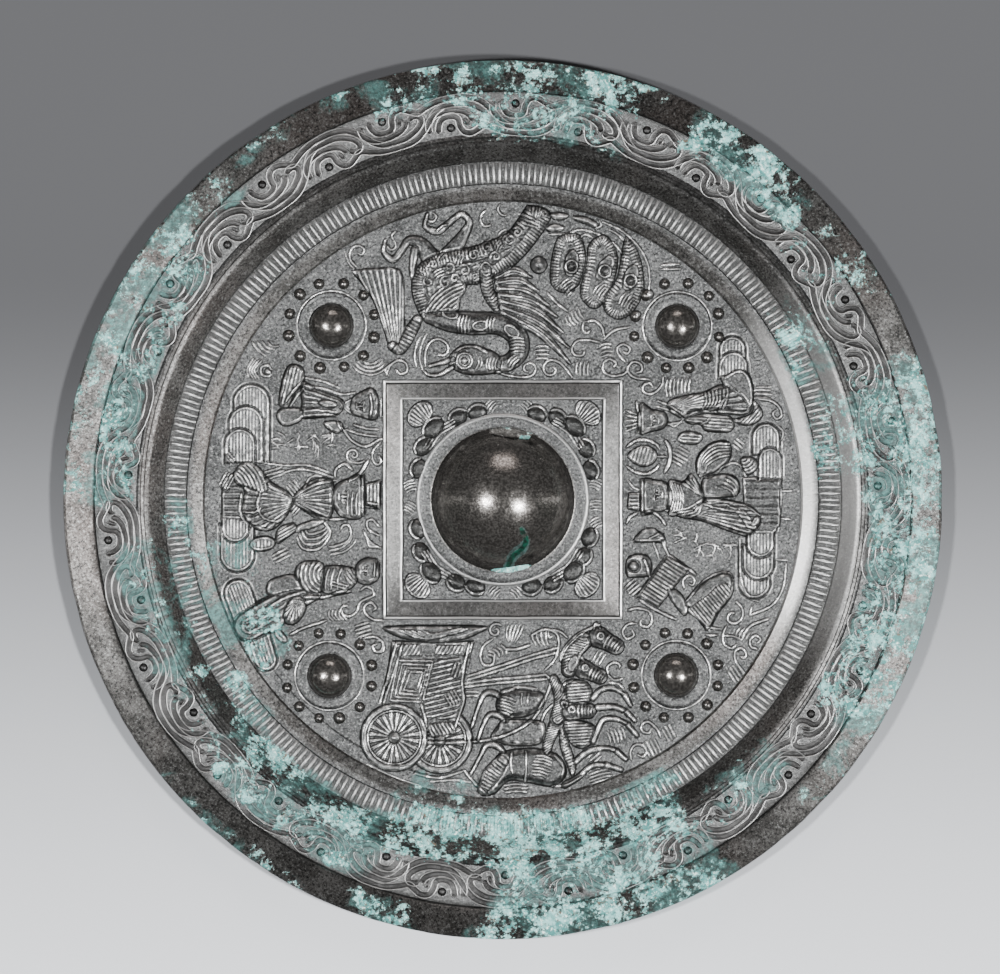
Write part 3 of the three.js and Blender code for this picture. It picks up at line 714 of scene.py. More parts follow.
def script_like_strokes(c, x, y, angle, columns, seed):
    """Short strokes in groups. They only look like writing and spell nothing."""
    rng = np.random.default_rng(seed)
    column_pitch, strokes = 4.3, 5
    for stroke in range(columns * strokes):
        along = stroke // strokes * column_pitch + rng.uniform(-1.3, 1.3)
        middle, = turned([(along, rng.uniform(-2.2, 2.2))], x, y, angle)
        tilt = angle + math.degrees(rng.choice([0, np.pi / 2, 0.6, -0.7]))
        reach = rng.uniform(0.8, 1.7)
        c.thread([polar(-reach, tilt, middle), (middle[0] + 0.3, middle[1] + 0.2),
                  polar(reach, tilt, middle)], 0.5, 0.35)


def west_lobes(c):
    """Lobes of cloud along the border, overlapping upwards and downwards."""
    lobe(c, -62.9, 24.4, 4.6, 15, 90)
    lobe(c, -64.3, 19.1, 4.4, 9.8, 90)
    lobe(c, -65.8, 14, 3.9, 4.8, 90)
    c.tuft(-68.4, 10.4, 130, 3, 3, 0.7)
    lobe(c, -66.5, -13.8, 4.3, 8, 270)
    lobe(c, -67, -7.2, 3.5, 3.5, 270)
    lobe(c, -66.3, -23.4, 3.5, 7, 110)
    lobe(c, -59.4, -39.9, 2.9, 6, -73)


def west_mat(c):
    """The mat behind the tall figure."""
    c.plate([(-70.4, 4.6), (-66, 8), (-62, 8), (-62, -6), (-66.4, -5), (-70.4, -4.6)], 0.6, 0.4,
            hatch(0, 1.5, 0.14))
    c.tuft(-69.2, 4.6, 62, 4.4, 4, 0.75)


def west_tall_figure(c):
    """The tall figure: skirt, sash, crossed collar, hat."""
    c.patch([(-52.4, 0.4), (-58, 4.6), (-61.6, 8.6), (-65.4, 8.4), (-67.4, 6), (-66.6, 3.4), (-65, 2.2),
             (-65.6, -3), (-63.6, -6.4), (-59, -7.8), (-55.2, -5.6)], 1.3, 1.0,
            rays(-50.4, -0.4, 7, 0.14))
    c.patch([(-66.8, 7.6), (-64, 9.4), (-60.6, 7.4), (-58.4, 3), (-60.4, 1.6), (-64, 3), (-67, 4.4)],
            0.7, 0.6, rings(-70.6, 1.2, 0.95, 0.2), lift=0.8)
    c.thread([(-65.4, 1.6), (-65.8, -2.6), (-63.8, -6.2), (-59.2, -7.6)], 0.7, 0.35)
    c.threads(0.6, 0.35, [
        [(-60.6, 2), (-61.4, -1.4), (-60, -4.4), (-56.6, -5.4), (-54, -4)],
        [(-65, -3), (-62.2, -3.2), (-60.6, -2)],
    ])
    c.patch([(-52.6, 0), (-48, 4.8), (-43, 5.2), (-42, 0), (-43.6, -4.9), (-48, -3.4)], 1.2, 0.9,
            rays(-53.2, 0, 8, 0.14))
    c.threads(0.8, 0.4, [
        [(-52.6, 0.6), (-49, 2.9), (-45, 4.3), (-41.6, 4.9)],
        [(-52.6, -0.6), (-49.4, -2.6), (-46, -4.6), (-42, -4.9), (-38, -4.6)],
    ])
    c.threads(0.6, 0.35, [
        [(-50, 2.4), (-48.6, 5.2), (-46.8, 6), (-44, 5.6)],
        [(-62, 9.6), (-55, 8.6), (-49, 8.6), (-44, 7)],
    ])
    c.tuft(-52.4, 3, -52, 3.2, 4, 0.8)
    c.tuft(-52, -2.4, 52, 2.6, 3, 0.7)
    c.thread([(-60, 4.2), (-56, 6.4), (-51, 7.6), (-46, 6.8), (-42.6, 5.6)], 0.7, 0.4)
    c.tuft(-57.4, 6.6, 16, 5.4, 3, 0.9)
    c.patch([(-43, 0.4), (-42, 3.6), (-39, 5.2), (-35.2, 5.6), (-35, -3.9), (-39.6, -4.6), (-42, -2.6)],
            1.7, 0.9)
    c.tuft(-37.6, -1, 88, 6, 3, 1.1, 0.2, 0.6, 0.4)
    face(c, -39.8, 0.8, 2.0)
    c.plate([(-35.6, -4), (-34.6, -4), (-34.6, 6.4), (-35.6, 5.6)], 2.0, 0.4)
    c.thread([(-38.4, 4.8), (-35.8, 6.6), (-33.7, 9.8)], 1.2, 0.8)
    c.plate([(-34.4, -1.4), (-30.6, -2.2), (-30.6, 5), (-34.4, 4)], 1.1, 0.5, hatch(90, 1.0, 0.2))
    c.threads(0.6, 0.4, [[(-34.6, -0.6), (-31, -1.2)], [(-34.6, -1.6), (-31, -2.2)]])
    c.thread([(-37.6, 7.4), (-39.6, 8.9), (-41.8, 7.6), (-42, 5.6)], 0.9, 0.6)


def west_upper_attendant(c):
    """The upper attendant."""
    c.patch([(-40.6, 25.4), (-46, 27.4), (-50.4, 29.8), (-50.4, 24), (-50.8, 20.6), (-45, 20.6),
             (-41, 21.4), (-39.8, 23.4)], 1.2, 0.9, rays(-37.6, 23.6, 6.5, 0.16))
    c.patch([(-50.2, 22.6), (-52.6, 23.2), (-56, 22.6), (-56.6, 20.4), (-55, 18.5), (-52, 19),
             (-50, 20.4)], 0.9, 0.7)
    c.patch([(-49.6, 31.4), (-50.4, 33.4), (-53.4, 33.8), (-55, 31), (-56, 26), (-55.8, 23.4),
             (-53.6, 23.2), (-52, 26.4), (-50, 29)], 1.2, 0.8, hatch(76, 0.9, 0.14))
    c.threads(0.7, 0.45, [
        [(-54.6, 24.2), (-52.6, 27), (-50.6, 29.2)],
        [(-53.2, 23.4), (-51.4, 26.2), (-49.8, 28)],
        [(-49.8, 28.6), (-45, 27.8), (-40.4, 26.4), (-37, 26.8)],
    ])
    c.thread([(-49.8, 30.6), (-45, 29.6), (-41, 28)], 0.6, 0.35)
    c.threads(0.6, 0.4, [
        [(-50.6, 22), (-46, 22.4), (-41.4, 21.9)],
        [(-50.4, 20.8), (-46, 21.3), (-41.6, 21)],
    ])
    c.plate(oval(-43.8, 24, 2.4, 0.9, -8), 0.5, 0.4, lift=1.3)
    for shift in (0, 0.8, 1.6):
        c.thread([(-41 + shift, 24.6), (-39 + shift, 22.4), (-37 + shift, 21)], 0.5, 0.4)
        c.thread([(-41 + shift, 23), (-38.6 + shift, 24.8), (-36.4 + shift, 26)], 0.5, 0.4)
    c.patch([(-38, 22), (-36.2, 20.9), (-31.6, 20.2), (-31.2, 25.8), (-33, 28), (-36, 26.8), (-38, 25)],
            1.6, 0.9)
    face(c, -35.6, 23.4, 1.7)
    c.thread([(-33.2, 20.6), (-32.8, 23.4), (-33.2, 26.4)], 0.8, 0.6)
    c.tuft(-31, 23, 88, 5, 2, 1.0, 0, 0.6, 0.5)
    c.patch([(-45, 19.4), (-43.4, 17.4), (-41.4, 16.6), (-40, 17.8), (-40.8, 19.6)], 0.9, 0.6)
    c.thread([(-41.4, 19.8), (-40.8, 18), (-40.2, 17.4)], 0.6, 0.4)


def west_lower_attendant(c):
    """The lower attendant."""
    c.patch([(-58.8, -20.6), (-56, -19.2), (-52, -19), (-50, -23.4), (-55, -24.4), (-59, -23.6)],
            0.9, 0.7)
    c.body([(-47, -23.6, 3), (-53, -25.6, 6), (-58, -28.4, 8.6), (-63.6, -31.6, 8.2)], 1.0, 4,
           folds(1.6, 0.22))
    c.patch([(-52.2, -18), (-51, -16), (-48.4, -15.2), (-45, -16), (-44.6, -20.6), (-46, -23.6),
             (-49.2, -23.2), (-51.4, -20.4)], 1.2, 0.9, rings(-44.2, -18.6, 1.05, 0.22))
    c.plate(oval(-52.2, -27.6, 4, 2.7, 62), 1.5, 0.9, rays(-51.6, -25.4, 13, 0.14))
    c.patch([(-45, -17.4), (-43, -16.4), (-38.4, -16.8), (-36.4, -18.4), (-37, -21.4), (-41, -23.6),
             (-45.4, -22.8)], 1.4, 0.9)
    for start_x, stop_x in ((-44.4, -43.4), (-43, -42), (-41.4, -40.2)):
        c.thread([(start_x, -22.6), (start_x + 0.2, -19.6), (stop_x, -17)], 0.55, 0.35)
    c.tuft(-37.6, -19.2, 128, 4, 4, 0.8, 0.2)
    c.tuft(-41, -21.4, -16, 4.6, 2, 0.8)
    c.patch([(-37, -17), (-35.4, -15), (-33, -14.5), (-31.2, -15.4), (-31, -19.6), (-33.6, -21.2),
             (-36.4, -20.4)], 1.7, 0.9)
    face(c, -34.6, -17.8, 1.7)
    c.tuft(-31.6, -17.4, 86, 4, 2, 1.0, 0, 0.6, 0.5)
    c.thread([(-49.6, -24.4), (-45, -24.4), (-41, -23.4), (-38, -22.8)], 0.9, 0.6)


def west_crescents(c):
    """Nested crescents and small lobes."""
    c.fan(4, 0.75, 0.55, [(-51.6, -9.4), (-50, -12.2), (-46, -12.2), (-43.2, -8.6), (-44.4, -5.6)],
          [(0.6, 0.8), (0.5, 1.2), (0.1, 1.4), (-0.3, 0.6), (-0.2, 0)])
    c.body([(-51.6, -7.4, 1.6), (-48, -6.2, 2), (-45, -5.4, 0.8)], 0.8)
    c.patch([(-57, -9.4), (-56, -7), (-52.6, -5.8), (-51.4, -7.4), (-54, -9.6), (-56.4, -11)], 0.9, 0.7,
            hatch(30, 0.8, 0.16))
    c.plate(oval(-60.2, -11, 3.4, 1.9, 6), 0.9, 0.6, hatch(90, 0.9, 0.14))
    c.thread(oval(-60.2, -11, 3, 1.5, 6), 0.6, 0.3)
    c.plate(oval(-55.6, -34.2, 2.2, 1.1, -46), 0.7, 0.5)
    script_like_strokes(c, -56, 14, 0, 4, 3)


def west_curls(c):
    """Curls, tufts and short lines of cloud."""
    c.threads(0.8, 0.5, [
        [(-40.2, 18), (-38, 15), (-35.2, 13.4), (-33.4, 13.6), (-31, 15), (-28.6, 15.2)],
        [(-53.4, -33.8), (-49.6, -32), (-46.4, -31), (-44.2, -30.2)],
    ])
    c.threads(0.7, 0.5, [
        [(-37.4, 18.8), (-34, 17.8), (-31, 17.6)],
        [(-39.4, 17.6), (-35.6, 16.4), (-31.4, 15.8)],
        [(-32.6, -22.6), (-32.4, -24), (-35.6, -25.6), (-36.6, -28), (-38.6, -29.2), (-40.6, -28.2),
         (-40.2, -26.8), (-39, -26.6)],
        [(-35.8, -22.8), (-34.2, -21.8), (-32.6, -22.4)],
    ])
    c.threads(0.75, 0.5, [
        spiral(-37.4, 11.2, 1.9, 250, -420)[::-1],
        [(-37.6, 9.4), (-36, 9.2), (-34.6, 9.8)],
        [(-30.6, 14.4), (-32.4, 12.4), (-32.6, 10.2), (-31.6, 8.8), (-30.4, 9.6), (-31, 10.9)],
        [(-30.8, -6.8), (-31.6, -6), (-32.6, -5), (-34, -5.4), (-33.6, -7.4), (-31, -9)],
        [(-40.6, -7.6), (-40.2, -6.6), (-38.6, -6.4), (-38, -8.4), (-39, -10.4), (-42, -11.6),
         (-43.6, -11.8)],
        [(-30.2, -30.2), (-32.4, -30), (-34.4, -28.4), (-34.6, -26.6), (-33, -25.8), (-31.8, -27),
         (-32.6, -27.8)],
        [(-34.6, -34.6), (-32, -34.4), (-30.2, -35.6), (-30.4, -37.6), (-32, -38), (-32.6, -36.6),
         (-31.6, -36.2)],
        [(-58, 31.8), (-58.6, 30.9), (-60.4, 31.4), (-60.4, 33.2), (-58.8, 33.6), (-57.9, 32.6)],
    ])
    c.fan(4, 0.55, 0.5, [(-35, -7.6), (-33.4, -10.2), (-30.6, -12.2)],
          [(0.4, -0.9), (0, -0.5), (0, 0.1)])
    c.threads(0.6, 0.5, [
        [(-43.4, -12.8), (-40.4, -12), (-38.4, -10.4), (-37.6, -9)],
        [(-43.2, -13.8), (-39.8, -13), (-37.6, -11.4), (-36.8, -10)],
    ])
    c.tuft(-55.6, -14, 28, 4.4, 3, 0.95)
    c.fan(5, 0.5, 0.5, [(-43.4, -27.6), (-43.6, -29), (-42.6, -30.2)], [(0.8, 0), (0.9, 0), (0.9, 0)])
    c.tuft(-35, -32.6, 18, 4.2, 4, 0.95)
    c.dome(-58.8, 32, 0.9, 0.9)
    c.fan(4, 0.55, 0.5, [(-61, 30.2), (-62.2, 32.6), (-60.2, 35)],
          [(-0.9, 0.2), (-0.6, 0), (-0.8, 0.1)])
    c.fan(4, 0.55, 0.5, [(-62.8, 39.6), (-61.4, 37.6), (-59.4, 36)], [(1.3, 0), (1.2, 0.3), (1.1, 0.8)])
    c.thread([(-28.6, 31), (-29.4, 32.6), (-28.2, 34)], 0.6, 0.5)


def draw_west(c):
    """A tall robed figure between two attendants, all with their feet to the rim."""
    for draw in (west_lobes, west_mat, west_tall_figure, west_upper_attendant,
                 west_lower_attendant, west_crescents, west_curls):
        draw(c)


def east_mat_and_lobes(c):
    """The mat and the lobes of cloud along the border."""
    c.plate([(60, 5.6), (69.6, 5.9), (69.4, -6), (68, -9), (60.6, -9)], 0.6, 0.4, hatch(0, 2.1, 0.14))
    c.thread([(69.6, 5.6), (69.7, 0), (69, -8)], 0.6, 0.35)
    c.threads(0.6, 0.3, [[(69.4, 2.2), (72.4, 2.2)], [(69.2, -4.6), (72.2, -5)]])
    lobe(c, 57.5, 37.7, 3.3, 5, 90)
    lobe(c, 57.7, 33.4, 3.7, 3, 90)
    c.patch([(54.4, 31), (56.4, 31.6), (59.6, 32.8), (61.6, 31.6), (62.8, 28), (62.8, 24.4),
             (61.6, 21.8), (57.4, 21.4), (53.6, 22), (55.6, 26), (55, 29)], 1.0, 0.8)
    c.thread([(55.6, 30.4), (58.4, 32.2), (60.6, 31.6), (61.9, 29), (62.2, 25), (61.4, 22.8)], 0.7, 0.4)
    c.patch([(62.6, 25), (64.8, 22.8), (64.9, 20.6), (62.4, 18.8), (59.4, 18.9), (57.8, 20),
             (60.4, 20.8), (62.4, 22)], 0.9, 0.6, hatch(50, 0.8, 0.16))
    lobe(c, 65.9, 15.7, 3.5, 4.5, 90)
    lobe(c, 66.9, 10.1, 3, 5, 90)
    c.thread([(69.8, 15), (70.2, 17), (68.8, 18.6)], 0.6, 0.35)
    lobe(c, 63, -20.8, 4, 9, 270)
    lobe(c, 64, -16.1, 4, 5, 270)
    lobe(c, 64.5, -11, 3.5, 3, 270)
    c.thread([(59.4, -9.6), (59.4, -18), (61, -23.4), (64, -25.6)], 0.7, 0.4)
    c.thread([(68.6, -15), (71, -15.2)], 0.6, 0.35)
    c.threads(0.7, 0.45, [
        [(71, -16), (70.2, -22), (67.4, -26.4), (61.8, -29)],
        [(61.8, -29), (62.4, -26.8)],
    ])


def east_upper_attendant(c):
    """The upper attendant."""
    c.patch([(45.2, 20.6), (47.6, 22), (52, 22.4), (56.4, 22.2), (61.4, 22), (61.6, 24.2), (58.8, 27.4),
             (54.6, 28.8), (50.4, 27), (45.8, 26.2), (41.4, 24.6), (42, 22)], 1.2, 0.9,
            rays(40.6, 22.4, 4.8, 0.14))
    c.fan(7, 0.55, 0.4, [(50.6, 27), (51, 24.6), (50, 22.8)], [(0.95, 0.15), (0.85, 0.1), (0.85, 0)])
    c.threads(0.7, 0.45, [
        [(45.6, 20.8), (49, 22.1), (51.6, 22.3), (54, 23.6), (56.4, 26.4)],
        [(57, 28.2), (60.2, 26), (61.6, 23.4), (60.4, 21.6), (55.4, 22)],
    ])
    c.patch([(45.4, 20.2), (49, 21.4), (53, 21.6), (57, 20.8), (58, 18.6), (56.6, 17), (51, 17.2),
             (49.4, 18.8), (47, 18.9)], 1.0, 0.7, hatch(-4, 0.85, 0.18))
    c.thread([(49.2, 18.8), (50.8, 19.4), (51.8, 20.6)], 0.6, 0.35)
    c.patch([(43.6, 15.4), (45.4, 17.1), (49.4, 16.6), (50, 15.2), (48.4, 13.9), (44.8, 14.2)],
            0.8, 0.5, hatch(-4, 0.85, 0.2))
    for y0, y1 in ((24.8, 22), (23.4, 21), (18, 20)):
        c.thread([(38.6, y0), (42, (y0 + y1) / 2), (45, y1 - 0.6)], 0.6, 0.4)
    c.thread([(40.6, 19.6), (43, 18.4), (45, 20)], 0.6, 0.4)
    c.patch([(34.4, 24), (37.6, 22.6), (40.4, 22), (41.4, 20), (40.4, 18), (37, 17), (34.2, 16.8)],
            1.7, 0.9)
    face(c, 38, 19.8, -1.7)
    c.thread([(33.4, 24.6), (34, 21), (34, 16.8)], 0.8, 0.7)
    for y0, y1 in ((22.4, 21.4), (21.2, 20.6), (19.8, 19.9), (18.4, 19), (17.2, 18.2)):
        c.thread([(30.8, y0), (33.4, y1)], 0.6, 0.45)


def east_tall_figure(c):
    """The tall figure: crossed sash, sleeves and hat."""
    c.patch([(50, 5), (53.6, 6.4), (57.4, 6.2), (59.2, 4.4), (59, 1.4), (56, 0.6), (50.4, 0.6)],
            1.3, 0.8)
    c.fan(4, 0.55, 0.4, [(56.2, 6.2), (58.4, 4.6), (59, 2.4)],
          [(-0.5, -0.9), (-0.4, -0.8), (-0.3, -0.6)])
    c.patch([(50, 0.2), (55, 0.2), (61, -1.2), (64.4, -3.4), (64.6, -6.4), (61.6, -9), (57.6, -8.2),
             (50, -5.4), (44.6, -4.4), (40.6, -2.6), (45.4, -1)], 1.4, 1.0, rays(41.4, -2, 3.4, 0.16))
    c.fan(5, 0.6, 0.45, [(56.4, -1.4), (59.4, -3.8), (61.6, -7)],
          [(0.9, -0.3), (0.7, -0.4), (0.5, -0.1)])
    c.plate(oval(63.2, -5.4, 1.5, 0.9, 60), 0.6, 0.4, lift=1.3)
    c.thread([(50.2, 0.2), (55, -0.3), (61, -1.4), (64.4, -3.8)], 0.7, 0.45)
    c.thread([(50, -1), (54, -2.2), (58, -2.8)], 0.6, 0.4)
    c.patch([(41.4, 4.6), (45, 4.6), (47.4, 6.4), (50.4, 1.2), (50, -1), (45, -3.6), (41.4, -3.4)],
            1.3, 0.9)
    c.fan(5, 0.5, 0.35, [(41.8, 4.4), (42.8, 0.8), (42, -2.8)], [(0.65, -0.2), (0.6, 0), (0.7, 0)])
    c.fan(4, 0.5, 0.4, [(45, 4.2), (47.6, 2.4), (50, 0.9)], [(0.8, 0.7), (0.4, 0.4), (0, 0)])
    c.fan(4, 0.5, 0.4, [(42.4, -2.8), (46.6, -2), (50, 0.2)], [(1.5, -0.5), (0.8, -0.4), (0, 0)])
    c.patch([(35, 4.8), (38, 5), (41, 4.2), (41.8, 1), (41, -2.4), (38, -3), (35, -2.8)], 1.7, 0.9)
    face(c, 38.8, 1.4, -1.9)
    c.plate([(34.5, -3.2), (35.4, -3.2), (35.4, 5.2), (34.5, 5.2)], 2.0, 0.3)
    c.plate([(31.2, -2.4), (34.4, -2.6), (34.4, 1.8), (31.4, 1.8)], 0.8, 0.3, hatch(0, 0.95, 0.22))
    c.thread([(31.4, 4.8), (32.6, 3.2), (34.2, 2.4)], 0.6, 0.4)
    c.thread([(31, -6), (31.8, -4.4), (33.8, -3.2)], 0.9, 0.6)
    c.thread([(34.8, -3.6), (37.6, -3.2), (39.6, -4.6), (40.8, -6.4)], 0.9, 0.7)


def burner(c):
    """The burner: two arcs round an almond bowl, and its foot."""
    c.patch([(31.2, 11), (33, 12.9), (35.6, 13.7), (38, 12.6), (38.8, 10.9), (37.6, 9), (35, 8.3),
             (32.8, 9.2)], 0.8, 0.6, hatch(74, 0.9, 0.1))
    c.threads(0.9, 0.6, [
        [(31, 13.2), (33.4, 14.8), (36.2, 14.9), (38.4, 13.9), (39.2, 12.8)],
        [(31, 8.4), (33.2, 6.9), (36, 6.5), (38.2, 7.6), (39.2, 8.8)],
    ])
    c.thread([(40.8, 14.8), (41.8, 12.8), (41.8, 9.6), (40.6, 7)], 1.3, 0.7)
    c.thread([(38.8, 10.8), (41, 10.8)], 0.8, 0.5)
    c.tuft(44.4, 10.9, -30, 3.8, 5, 0.95)


def cushion(c):
    """The cushion of nested arcs and the pods beside it."""
    c.patch([(49.2, 5.6), (48.2, 9), (49.4, 12), (52.4, 14.4), (56, 14.8), (57.4, 13), (56.8, 10),
             (55, 8), (52, 6.2)], 0.9, 0.8)
    for step in range(5):
        shrink = 0.9 * step
        c.thread([(48.9 + 0.5 * shrink, 6.6 + 0.1 * shrink), (49.4 + 0.5 * shrink, 10.6 - 0.5 * shrink),
                  (52.6 + 0.4 * shrink, 13.8 - 0.9 * shrink), (56.8 - 0.05 * shrink, 14 - 0.8 * shrink)],
                 0.65, 0.45)
    c.thread([(49.8, 5.4), (53, 6.4), (55.6, 8.4), (57.6, 9.2), (59.6, 8.4), (60.8, 6)], 0.6, 0.4)
    c.patch([(59.4, 10.2), (62.6, 10.6), (64, 8.8), (62.8, 6.8), (60.8, 6.4)], 0.8, 0.6,
            rings(60, 11, 0.9, 0.14))
    c.tuft(59, 13.8, -40, 2.6, 3, 0.95)


def zither_player(c):
    """The kneeling player and the ribbed zither."""
    c.patch([(33, -10.4), (34.6, -7.8), (37, -7), (39, -7.8), (40.3, -10.2)], 0.9, 0.6)
    c.thread([(32.6, -10.3), (39.4, -10.4), (40.4, -11.6), (41.6, -14)], 0.8, 0.5)
    c.thread([(37.6, -10.6), (38.6, -13), (39.2, -15)], 0.7, 0.45)
    c.thread([(36.8, -9.6), (39.8, -8.6), (40.8, -11.6)], 0.7, 0.4)
    c.patch([(31, -14.8), (33.6, -13.6), (36.4, -14.2), (37.4, -16.4), (36.6, -19), (33, -19.4),
             (31, -19)], 1.2, 0.9)
    c.dome(32.8, -16.6, 1.8, 1.6)
    c.thread([(35.4, -15), (36.2, -17), (36.8, -19.4)], 0.8, 0.6)
    c.tuft(32.6, -22, 42, 3.6, 4, 0.9)
    c.plate([(33.6, -24.2), (41.2, -14), (46.8, -17.2), (39, -27)], 1.2, 0.6, hatch(-33, 0.95, 0.26))
    c.threads(0.7, 0.5, [
        [(33.4, -24.4), (41.2, -13.8)],
        [(45.4, -22.2), (45.2, -20), (46.8, -19), (48, -20), (47.6, -21.4), (46.6, -21)],
    ])
    c.threads(0.9, 0.6, [
        [(41.4, -13.8), (46, -17), (48.4, -18.8)],
        [(34.2, -25), (38, -27.4), (43.4, -30)],
    ])
    c.patch([(41, -22.6), (43.4, -22.4), (45.6, -24.8), (46.6, -27.6), (45.4, -29), (42.6, -26)],
            0.8, 0.7)


def hatched_leaf(c):
    """The long hatched leaf."""
    c.patch([(45.6, -25.6), (50, -20.8), (54, -18.6), (56.8, -18.6), (57.7, -20.8), (57.2, -24),
             (54, -28), (51.4, -32.6), (50, -31.6), (47.8, -28.4)], 1.1, 0.8)
    c.patch([(46.4, -27.4), (50.6, -24.2), (54.6, -20.8), (57, -21.4), (56.8, -24.2), (53.6, -28.2),
             (51.4, -31.8), (49, -30)], 0.5, 0.5, hatch(-50, 0.85, 0.28), lift=0.7)
    c.thread([(45.8, -25.4), (50, -20.6), (54, -18.4), (57, -18.6), (57.7, -21.4), (56.8, -24.6),
              (53.8, -28.4), (51.6, -32.8)], 0.6, 0.4)
    script_like_strokes(c, 44.8, -10.6, -12, 4, 11)


def east_curls(c):
    """Curls, tufts and short lines of cloud."""
    c.threads(0.7, 0.5, [[(50.6, -33.6), (52, -34), (53.8, -33.9)], [(51.6, -32), (54.6, -32.4)]])
    c.threads(0.75, 0.5, [
        [(58.4, -25.4), (60, -27.4), (59.8, -29.8), (58, -31), (56.4, -30.2), (56.8, -28.6),
         (58, -28.4)],
        [(56, -31.6), (55.2, -33.6), (55.4, -36), (57.2, -37.2), (58.6, -36.2)],
        [(63.8, -37.4), (62.2, -36.8), (61.9, -35.2), (63.2, -34), (64.6, -35), (63.6, -36)],
        [(60.6, -43.4), (58.4, -40.6), (58.2, -38), (59.8, -37.2), (61, -38.6), (60.4, -39.6),
         (59.4, -39.2)],
        [(31.4, -27.6), (34, -27.2), (36.6, -28), (37.4, -30), (36.4, -31.8), (34.6, -31.4),
         (34.6, -30)],
        [(33.4, -31), (31.4, -31.2), (30, -33), (31, -34.8), (32.8, -34), (32.4, -32.6)],
        [(40.2, 31), (39.8, 28.6), (37.6, 26.6), (35.4, 26.9), (35.2, 28.6), (36.8, 29.2),
         (37.6, 28.2)],
        [(64, 25.2), (67, 24.8), (69.2, 23.2), (69.8, 21), (68.4, 20.3), (67.6, 21.6), (68.4, 22.4)],
    ])
    c.thread([(60.4, -33.4), (62.4, -31.4), (66.6, -29.8)], 0.8, 0.5)
    c.tuft(60.2, -33.6, 60, 2.8, 4, 0.95, 0.2)
    c.threads(0.6, 0.5, [[(55.4, -34), (57.8, -34.2), (59.6, -35)], [(63.6, 28.2), (67.2, 28.2)]])
    c.tuft(58.4, -43.4, 124, 4, 4, 0.95)
    c.fan(7, 0.55, 0.5, [(41.2, 30.2), (40.9, 28), (41.2, 25.8)], [(0.95, 0.05), (0.95, 0), (0.9, 0.2)])
    c.tuft(65.2, 26.4, -2, 4.4, 3, 1.0, 0.1)


def draw_east(c):
    """Robed figures, a covered burner, a cushion, a zither player and a leaf."""
    for draw in (east_mat_and_lobes, east_upper_attendant, east_tall_figure, burner, cushion,
                 zither_player, hatched_leaf, east_curls):
        draw(c)


def wheel(c, x, y, radius, spokes, height):
    """A spoked wheel with a round hub."""
    c.plate(oval(x, y, radius, radius, 0, 72), 0.35, 0.3, lift=0.1)
    for spoke in range(spokes):
        angle = 360 * (spoke + 0.5) / spokes
        for side in (-2.6, 2.6):
            c.thread([polar(1.4, angle, (x, y)), polar(radius - 1.9, angle + side, (x, y))], 0.55, 0.5)
    c.thread(oval(x, y, radius - 0.9, radius - 0.9, 0, 72), 1.9, height)
    c.thread(oval(x, y, radius - 1.9, radius - 1.9, 0, 72), 0.5, height * 0.75)
    c.dome(x, y, 1.65, 1.8)


def horse_head(c, x, y, turn, size=1.0):
    """A horse's head with its muzzle turned by `turn` degrees from +X."""
    nose = polar(4.9 * size, turn, (x, y))
    cheek = polar(2.6 * size, turn, (x, y))
    c.body([(x, y, 5.4 * size), (*cheek, 4.4 * size), (*nose, 4.2 * size)], 1.9, 3)
    c.tuft(*polar(2.7 * size, turn, (x, y)), turn + 90, 3.6 * size, 2, 0.9, 0.2, 0.55, 0.4)
    c.tuft(*nose, turn + 84, 2.8 * size, 3, 0.8, 0.2, 0.5, 0.4)
    c.ring(*polar(0.6 * size, turn + 60, (x, y)), 0.8 * size, 0.5, 0.4)
    c.thread([polar(2.4 * size, turn + 110, (x, y)), polar(3.6 * size, turn + 130, (x, y)),
              polar(2.4 * size, turn + 150, (x, y))], 0.7, 0.8)


def far_wheel(c):
    """The far wheel, which the near one partly covers."""
    wheel(c, -15.8, -60.2, 8.3, 18, 1.0)
    c.thread([(-19, -60.8), (-14, -60.9), (-8, -60.6)], 1.1, 0.8)


